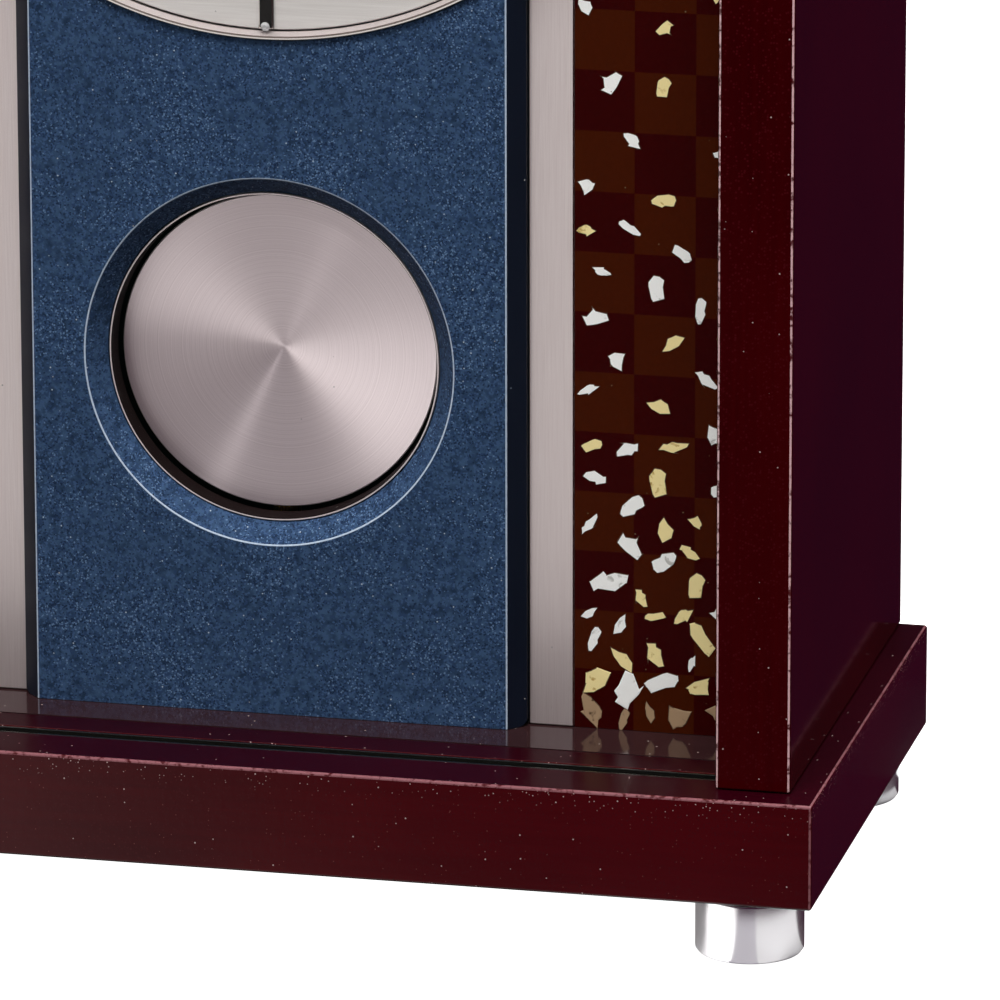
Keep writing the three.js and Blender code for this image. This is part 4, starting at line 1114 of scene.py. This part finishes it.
# %% [markdown]
# ## Metal strips
# A rolled strip lies on each side of the stone panel. Its arrises are rounded by the
# rolling. The outer arris is polished bright, and the inner one, towards the panel, takes a
# darker copy of the metal as painted shade.

# %% Metal strips
for side in ("left", "right"):
    strip = finished_copy(side + "_metal_strip", 0.3, 3, 40)
    paint(strip, satin_strip, polished, shaded_satin_edge)
    outward = 1 if side == "right" else -1
    for face in strip.data.polygons:
        # Outer arrises are polished; inner ones take the darker nickel as painted shade.
        if slanted(face) and face.normal.y < 0:
            face.material_index = 1 if face.normal.x * outward > 0 else 2
    smooth(strip)
    dress(strip, "case", "satin_steel", side + "_metal_strip")

# %% [markdown]
# ## Scraps of leaf on the inlay
# The scraps are irregular, larger and closer together towards the bottom, as if they had
# sunk there. A few shapes are drawn from a circle whose points are pushed about and
# whose rim is raised by an inset. Many small copies are then strewn with a fixed seed.

# %% Shapes of leaf
SCRAP_SHAPES = 8
LEAF_THICKNESS = 0.16


def scrap_of_leaf(index):
    """A scrap about 2 mm across: a jagged outline with a raised rim, facing -Y."""
    bpy.ops.object.select_all(action="DESELECT")
    bpy.ops.mesh.primitive_circle_add(
        vertices=9 + index % 4, radius=MM, fill_type="NGON", rotation=(math.pi / 2, 0, 0)
    )
    piece = settle(bpy.context.object, f"scrap_{index}")
    bpy.ops.object.mode_set(mode="EDIT")
    bpy.ops.mesh.select_all(action="SELECT")
    bpy.ops.transform.vertex_random(offset=0.42 * MM, uniform=1.0, normal=0.0, seed=index + 3)
    bpy.ops.transform.resize(value=(1, 0, 1), center_override=(0, 0, 0))
    bpy.ops.mesh.inset(thickness=0.07 * MM, depth=0)
    bpy.ops.transform.translate(value=(0, -0.05 * MM, 0))
    bpy.ops.object.mode_set(mode="OBJECT")
    return piece


shapes = [scrap_of_leaf(index) for index in range(SCRAP_SHAPES)]
print(f"{SCRAP_SHAPES} shapes of leaf")


# %% Strewing the leaf
TRIES = 4000
LEAST_SIZE, SIZE_SPREAD, LARGER_BELOW = 1.7, 0.8, 1.7
CROWDING, THINNING = 0.95, 17
GOLD_SHARE, TARNISHED_BELOW = 0.38, 43.5


def strewn(side, seed):
    """Places (x, z, size, turn, stretch) for the scraps on one panel, in mm."""
    low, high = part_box(side + "_inlay_panel")
    draw = random.Random(seed)
    taken = []
    for _ in range(TRIES):
        height = draw.random() ** 1.6
        size = LEAST_SIZE + SIZE_SPREAD * draw.random()
        size += LARGER_BELOW * (1 - height) ** 6 * draw.random()
        x = draw.uniform(low.x / MM + size, high.x / MM - size)
        z = low.z / MM + size + height * ((high.z - low.z) / MM - 2 * size)
        apart = THINNING * height
        if all(
            math.hypot(x - a, z - b) > CROWDING * (size + c) + apart for a, b, c in taken
        ):
            taken.append((x, z, size))
    spots = [
        (*spot, draw.uniform(0, math.tau), draw.uniform(0.42, 0.85)) for spot in taken
    ]
    return spots, draw


def lay_leaf(side, seed):
    """Lays silver and gold scraps on one panel, each kind joined into one piece."""
    panel_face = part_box(side + "_inlay_panel")[0].y
    spots, draw = strewn(side, seed)
    kinds = {"silver": [], "gold": [], "tarnished": []}
    for x, z, size, angle, stretch in spots:
        kind = "gold" if draw.random() < GOLD_SHARE else "silver"
        if z < TARNISHED_BELOW:
            kind = "tarnished"
        move = (
            Matrix.Translation((x * MM, panel_face - 0.05 * MM, z * MM))
            @ Matrix.Rotation(angle, 4, "Y")
            @ Matrix.Diagonal((size, 1, size * stretch, 1))
        )
        kinds[kind].append(twin_of(draw.choice(shapes), "scrap", move))
    finishes = {"silver": silver_leaf, "gold": gold_leaf, "tarnished": tarnished_leaf}
    for kind, finish in finishes.items():
        joined = join_all(kinds[kind], f"{side}_{kind}_leaf")
        wall = joined.modifiers.new("thickness", "SOLIDIFY")
        wall.thickness = LEAF_THICKNESS * MM
        wall.offset = -1
        apply_modifiers(joined)
        paint(joined, finish, leaf_rim_painted_shadow)
        # The rim faces are painted dark, a painted shadow round each scrap.
        for face in joined.data.polygons:
            if slanted(face) or abs(face.normal.y) < 0.5:
                face.material_index = 1
        dress(joined, "case", "inlay_lacquer")
    print(side, {kind: len(scraps) for kind, scraps in kinds.items()})


lay_leaf("right", 11)
lay_leaf("left", 23)
for shape in shapes:
    bpy.data.objects.remove(shape)

# %% [markdown]
# ## What stays as the CAD made it
# Flat plates, the glass and the pieces inside the movement already have the right
# shape. They keep their CAD meshes and only get their finishes.

# %% Finishes for the plain CAD nodes
def finish_node(node, finish):
    """Puts one finish on a CAD node that keeps its own mesh."""
    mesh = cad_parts[node].data
    if not mesh.materials:
        mesh.materials.append(finish)
    for index in range(len(mesh.materials)):
        mesh.materials[index] = finish


plain = {
    "right_inlay_panel": right_chequer,
    "left_inlay_panel": left_chequer,
    "floor_plate": black_mirror,
    "front_glass": glass,
    "backing_board": black_board,
    "dial_backer": black_board,
    "movement_washer": rubber,
    "pivot_pin": zinc_plate,
    "motor_core": zinc_plate,
    "motor_coil": upright_coil,
    "drive_coil": flat_coil,
    "minute_arbor": satin_steel,
    "hour_wheel": white_plastic,
    "minute_wheel": white_plastic,
    "lower_hinge_pin": brass,
    "upper_hinge_pin": brass,
}
for node, finish in plain.items():
    finish_node(node, finish)

# %% [markdown]
# ## Back panel, door, hinges and movement
# The back is plain: a matt black board with a small hinged door over the battery. These
# CAD pieces get softened edges, because all that is seen from behind is their outlines.

# %% Softened pieces
softened = (
    ("glass_channel", 0.15, enamel, "case", "gloss_black_paint"),
    ("back_panel", 0.25, black_board, "case", "black_board"),
    ("back_door", 0.4, black_board, "door", "black_board"),
    ("door_knob", 0.5, brass, "door", "brass_fittings"),
    ("door_strike_plate", 0.15, zinc_plate, "door", "satin_steel"),
    ("door_catch_magnet", 0.3, ferrite, "case", "magnet_grey"),
    ("lower_hinge_case_leaf", 0.15, brass, "case", "brass_fittings"),
    ("upper_hinge_case_leaf", 0.15, brass, "case", "brass_fittings"),
    ("lower_hinge_door_leaf", 0.15, brass, "door", "brass_fittings"),
    ("upper_hinge_door_leaf", 0.15, brass, "door", "brass_fittings"),
    ("movement_case", 0.4, black_plastic, "case", "black_plastic"),
    ("movement_cover", 0.4, black_plastic, "case", "black_plastic"),
    ("setting_knob", 0.15, white_plastic, "setting", "white_plastic"),
    ("battery", 0.3, battery_foil, "case", "battery_jacket"),
    ("negative_contact", 0.1, zinc_plate, "case", "satin_steel"),
    ("positive_contact", 0.1, zinc_plate, "case", "satin_steel"),
    ("shaft_bush", 0.15, brass, "case", "brass_fittings"),
    ("bush_nut", 0.2, brass, "case", "brass_fittings"),
)
for node, width, finish, body, slot in softened:
    piece = finished_copy(node, width, 2, 40)
    paint(piece, finish)
    smooth(piece)
    dress(piece, body, slot, node)

# %% [markdown]
# ## Screws
# Eight screws hold the back panel, and smaller ones hold the hinges. Each is a low
# turned head with a cross recess cut by two thin blocks. One is made for each row, and
# copies of it go to their places, each turned a little differently.

# %% A cross-recess screw
def screw(name, head_radius, shank_radius, length, crown):
    """A countersunk screw at the origin, its head's rim at y = 0, pointing to -Y."""
    sink = head_radius - shank_radius
    piece = turn(name, (0, 0, 0), [
        (0, crown), (head_radius * 0.55, crown * 0.75), (head_radius, 0),
        (head_radius, -0.1), (shank_radius, -0.1 - sink),
        (shank_radius, -length + 1), (0, -length),
    ], sides=32)
    for spin in (0, math.pi / 2):
        bpy.ops.object.select_all(action="DESELECT")
        bpy.ops.mesh.primitive_cube_add(
            size=1,
            location=(0, crown * MM, 0),
            rotation=(0, spin + 0.3, 0),
            scale=(head_radius * 1.15 * MM, head_radius * 0.7 * MM, head_radius * 0.26 * MM),
        )
        combine(piece, settle(bpy.context.object, "recess"))
    paint(piece, zinc_plate)
    smooth(piece, 35)
    return piece


def drive_screws(name, sample, places, body, slot):
    """Copies the screw to each place, joins the copies and lets them ride."""
    twins = [
        twin_of(sample, name, Matrix.Translation(place) @ Matrix.Rotation(1.1 * index, 4, "Y"))
        for index, place in enumerate(places)
    ]
    dress(join_all(twins, name), body, slot)
    bpy.data.objects.remove(sample)


SCREW_X, FROM_END = 106 * MM, 14 * MM
back_low, back_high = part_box("back_panel")
step = (back_high.z - back_low.z - 2 * FROM_END) / 3
heights = [back_low.z + FROM_END + index * step for index in range(4)]
drive_screws(
    "back_panel_screws",
    screw("panel_screw", 3.0, 1.3, 11, 0.5),
    [Vector((x, back_high.y, z)) for x in (-SCREW_X, SCREW_X) for z in heights],
    "case",
    "satin_steel",
)

# %% Hinge screws
FROM_LEAF_EDGE = 3 * MM
for body, back_face in (("case", 57.9 * MM), ("door", 61.2 * MM)):
    places = []
    for end in ("lower", "upper"):
        low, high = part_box(f"{end}_hinge_{body}_leaf")
        x = high.x - FROM_LEAF_EDGE if body == "case" else low.x + FROM_LEAF_EDGE
        for share in (0.2, 0.8):
            places.append(Vector((x, back_face, low.z + share * (high.z - low.z))))
    sample = screw("hinge_screw", 1.5, 0.6, 2.4, 0.2)
    drive_screws(f"hinge_screws_{body}", sample, places, body, "brass_fittings")

# %% [markdown]
# ## Studio
# The clock stands on a wide, pale floor. A big soft box high in front lights the dial and
# the panels. A narrow strip light high in front on the right draws the wedge on the
# pendulum. Others fill in from overhead, the sides and behind. Polished lacquer shows
# whatever it faces, so the two big boxes in front are kept out of reflections.

# %% Pale floor
def studio_paper(name, glow, light="#F4F4F4", dark="#EEEEEE"):
    """Matt paper with a faint tooth and some glow of its own."""
    material, tree, place = start_finish(name)
    tooth = noise(tree, place, size=2, detail=2)
    close_finish(tree, {
        "Base Color": blend_colours(tree, tooth, dark, light),
        "Roughness": 0.9,
        "Specular IOR Level": 0.0,
        "Emission Color": (1, 1, 1, 1),
        "Emission Strength": glow,
    })
    return material


def sheet_of_paper(name, low, high, level, finish):
    """A flat staged sheet between two corners (x, y), in metres."""
    middle = [(a + b) / 2 for a, b in zip(low, high)]
    bpy.ops.object.select_all(action="DESELECT")
    bpy.ops.mesh.primitive_plane_add(size=1, location=(*middle, level))
    bpy.context.object.scale = (high[0] - low[0], high[1] - low[1], 1)
    sheet = settle(bpy.context.object, name)
    paint(sheet, finish)
    return sheet


paper = studio_paper("pale_studio_paper", 1.2)
floor = sheet_of_paper("studio_floor", (-5, -5), (5, 5), -0.3 * MM, paper)
floor.visible_glossy = floor.visible_diffuse = floor.visible_shadow = False

# %% [markdown]
# The feet are bright metal, and would only show the dark room. So a fan of card lies
# round each: white on its left, grey in front, off-white on its right and open at the
# back. One more card lies behind the clock. Only reflections see them. They draw the soft
# grey band and the dark outlines that a bright cylinder needs. The white card glows a
# little, painted light that keeps the plinth's shadow off it.

# %% Cards round the feet
def leave_to_reflections(card):
    """Hides the card from the camera, and from soft light and shadows."""
    card.visible_camera = card.visible_diffuse = card.visible_shadow = False


def card_fan(name, centre, reach, start, end, finish):
    """A flat sector of card about a foot's axis. Angles run from -Y towards +X."""
    bpy.ops.object.select_all(action="DESELECT")
    bpy.ops.mesh.primitive_plane_add(size=MM)
    bpy.ops.object.mode_set(mode="EDIT")
    bpy.ops.mesh.select_all(action="SELECT")
    bpy.ops.mesh.merge(type="CENTER")
    bpy.ops.transform.translate(value=centre)
    along = Vector((math.sin(start), -math.cos(start), 0)) * reach
    bpy.ops.mesh.extrude_region_move(TRANSFORM_OT_translate={"value": along})
    bpy.ops.mesh.select_all(action="SELECT")
    bpy.ops.mesh.spin(steps=32, angle=start - end, center=centre, axis=(0, 0, 1))
    bpy.ops.object.mode_set(mode="OBJECT")
    card = settle(bpy.context.object, name)
    paint(card, finish)
    leave_to_reflections(card)


FRONT_REACH, BACK_REACH = 48 * MM, 19 * MM
# Painted light: the white card glows, so the shade under the plinth does not darken it.
glowing_white_card = studio_paper("glowing_white_card", 0.2, "#F0F0F2", "#E8E8EA")
dull_card = studio_paper("off_white_card", 0.0, "#C6C6C8", "#BEBEC0")
grey_card = studio_paper("grey_card", 0.0, "#A8A6AC", "#9E9CA2")
for node in feet:
    reach = FRONT_REACH if "front" in node else BACK_REACH
    for part, start, end, finish in (
        ("left", -152, -14, glowing_white_card),
        ("middle", -14, 22, grey_card),
        ("right", 22, 112, dull_card),
    ):
        name = node.replace("foot", "studio_card") + "_" + part
        card_fan(name, foot_of(node), reach, math.radians(start), math.radians(end), finish)

leave_to_reflections(
    sheet_of_paper("studio_card_behind", (-0.13, 0.07), (0.13, 0.14), 0, glowing_white_card)
)

# %% Lights
def soft_box(name, toward, distance, size, watts, tint, mirrored=True):
    """An area light that looks at the clock. Its size is (width, height) in metres."""
    aim = Vector((0, 0, 0.2))
    light = bpy.data.lights.new(name, "AREA")
    light.shape = "RECTANGLE"
    light.size, light.size_y = size
    light.energy = watts
    light.color = hex_colour(tint)[:3]
    lamp = bpy.data.objects.new(name, light)
    bpy.context.scene.collection.objects.link(lamp)
    lamp.location = aim + Vector(toward).normalized() * distance
    lamp.rotation_euler = (-Vector(toward)).to_track_quat("-Z", "Y").to_euler()
    lamp.visible_glossy = mirrored


soft_box("key_light", (0.05, -0.42, 0.9), 1.7, (0.9, 0.6), 41, "#FFFDFA", mirrored=False)
soft_box("strip_light", (0.206, -0.751, 0.6275), 1.7, (0.07, 0.2), 2.5, "#FFFDFC")
soft_box("front_light", (0.06, -0.93, 0.35), 2.2, (0.9, 0.5), 3, "#FFFDFA", mirrored=False)
soft_box("top_light", (0, 0.25, 0.97), 2.0, (2.2, 2.2), 8, "#FFFFFF")
soft_box("left_light", (-0.9, -0.35, 0.5), 1.9, (0.9, 1.2), 2, "#FAFCFF")
soft_box("right_light", (0.95, -0.1, 0.4), 1.9, (0.8, 1.0), 7, "#FFF8F6")
soft_box("back_light", (0.35, 0.85, 1.1), 1.9, (1.2, 1.2), 10, "#FFFFFF")

# %% [markdown]
# The camera sees white all round. Reflections see a dim violet room, as in a studio with
# dark drapes, with a pale ceiling, a white screen low on the left and a pale table, which
# is dark again straight beneath the clock. Soft light sees a plain grey sky. The room is
# sampled by its rays alone, so rough metals see the same room as polished ones.

# %% The room
world = bpy.data.worlds.new("studio_room")
bpy.context.scene.world = world
world.use_nodes = True
room = world.node_tree
room.nodes.clear()
direction = add_node(room, "TexCoord", {}).outputs["Generated"]
height = add_node(room, "SeparateXYZ", {0: direction}).outputs["Z"]
mirrored = blend_colours(room, ramp(room, height, 0.45, 0.8), "#280B1F", "#B8B8BC")
to_screen = Vector((-0.76, -0.58, -0.32)).normalized()
facing = add_node(
    room, "VectorMath", {"operation": "DOT_PRODUCT", 0: direction, 1: to_screen}
).outputs["Value"]
screen_rim, screen_face = (math.cos(math.radians(angle)) for angle in (37, 27))
screen = ramp(room, facing, screen_rim, screen_face)
mirrored = blend_colours(room, screen, mirrored, "#FFFCFA")
table = ramp(room, height, -0.335, -0.43)
mirrored = blend_colours(room, table, mirrored, "#C9C5C4")
beneath = ramp(room, height, -0.72, -0.88)
mirrored = blend_colours(room, beneath, mirrored, "#2A2426")
soft = blend_colours(room, ramp(room, height, -0.3, 0.5), "#1D1D20", "#747474")
ray = add_node(room, "LightPath", {}).outputs
unseen = blend_colours(room, ray["Is Glossy Ray"], soft, mirrored)
seen = blend_colours(room, ray["Is Camera Ray"], unseen, "#FFFFFF")
air = add_node(room, "Background", {"Strength": 1.5, "Color": seen})
add_node(room, "OutputWorld", {"Surface": air.outputs[0]})
world.cycles.sampling_method = "NONE"

# %% [markdown]
# ## Camera
# The photograph was taken from a little above and to the right, with a long lens. These
# angles and the lens were worked out from the plinth's edges and the opening's ellipse.

# %% Camera
YAW, PITCH, ROLL = (math.radians(angle) for angle in (12.8673, -16.4093, -0.102))
PLACE = Vector((0.5051454, -2.0203769, 0.6896224))
right = Vector((math.cos(YAW), math.sin(YAW), 0))
ahead = Vector((
    -math.sin(YAW) * math.cos(PITCH), math.cos(YAW) * math.cos(PITCH), math.sin(PITCH)
))
up = right.cross(ahead)
camera_x = right * math.cos(ROLL) + up * math.sin(ROLL)
camera_y = up * math.cos(ROLL) - right * math.sin(ROLL)
lens = bpy.data.cameras.new("camera")
lens.sensor_width = 36
lens.lens = 362.91
lens.clip_end = 20
camera = bpy.data.objects.new("camera", lens)
bpy.context.scene.collection.objects.link(camera)
axes = Matrix((camera_x, camera_y, -ahead)).transposed()
camera.matrix_world = Matrix.Translation(PLACE) @ axes.to_4x4()
bpy.context.scene.camera = camera
bpy.context.scene.view_settings.view_transform = "Standard"
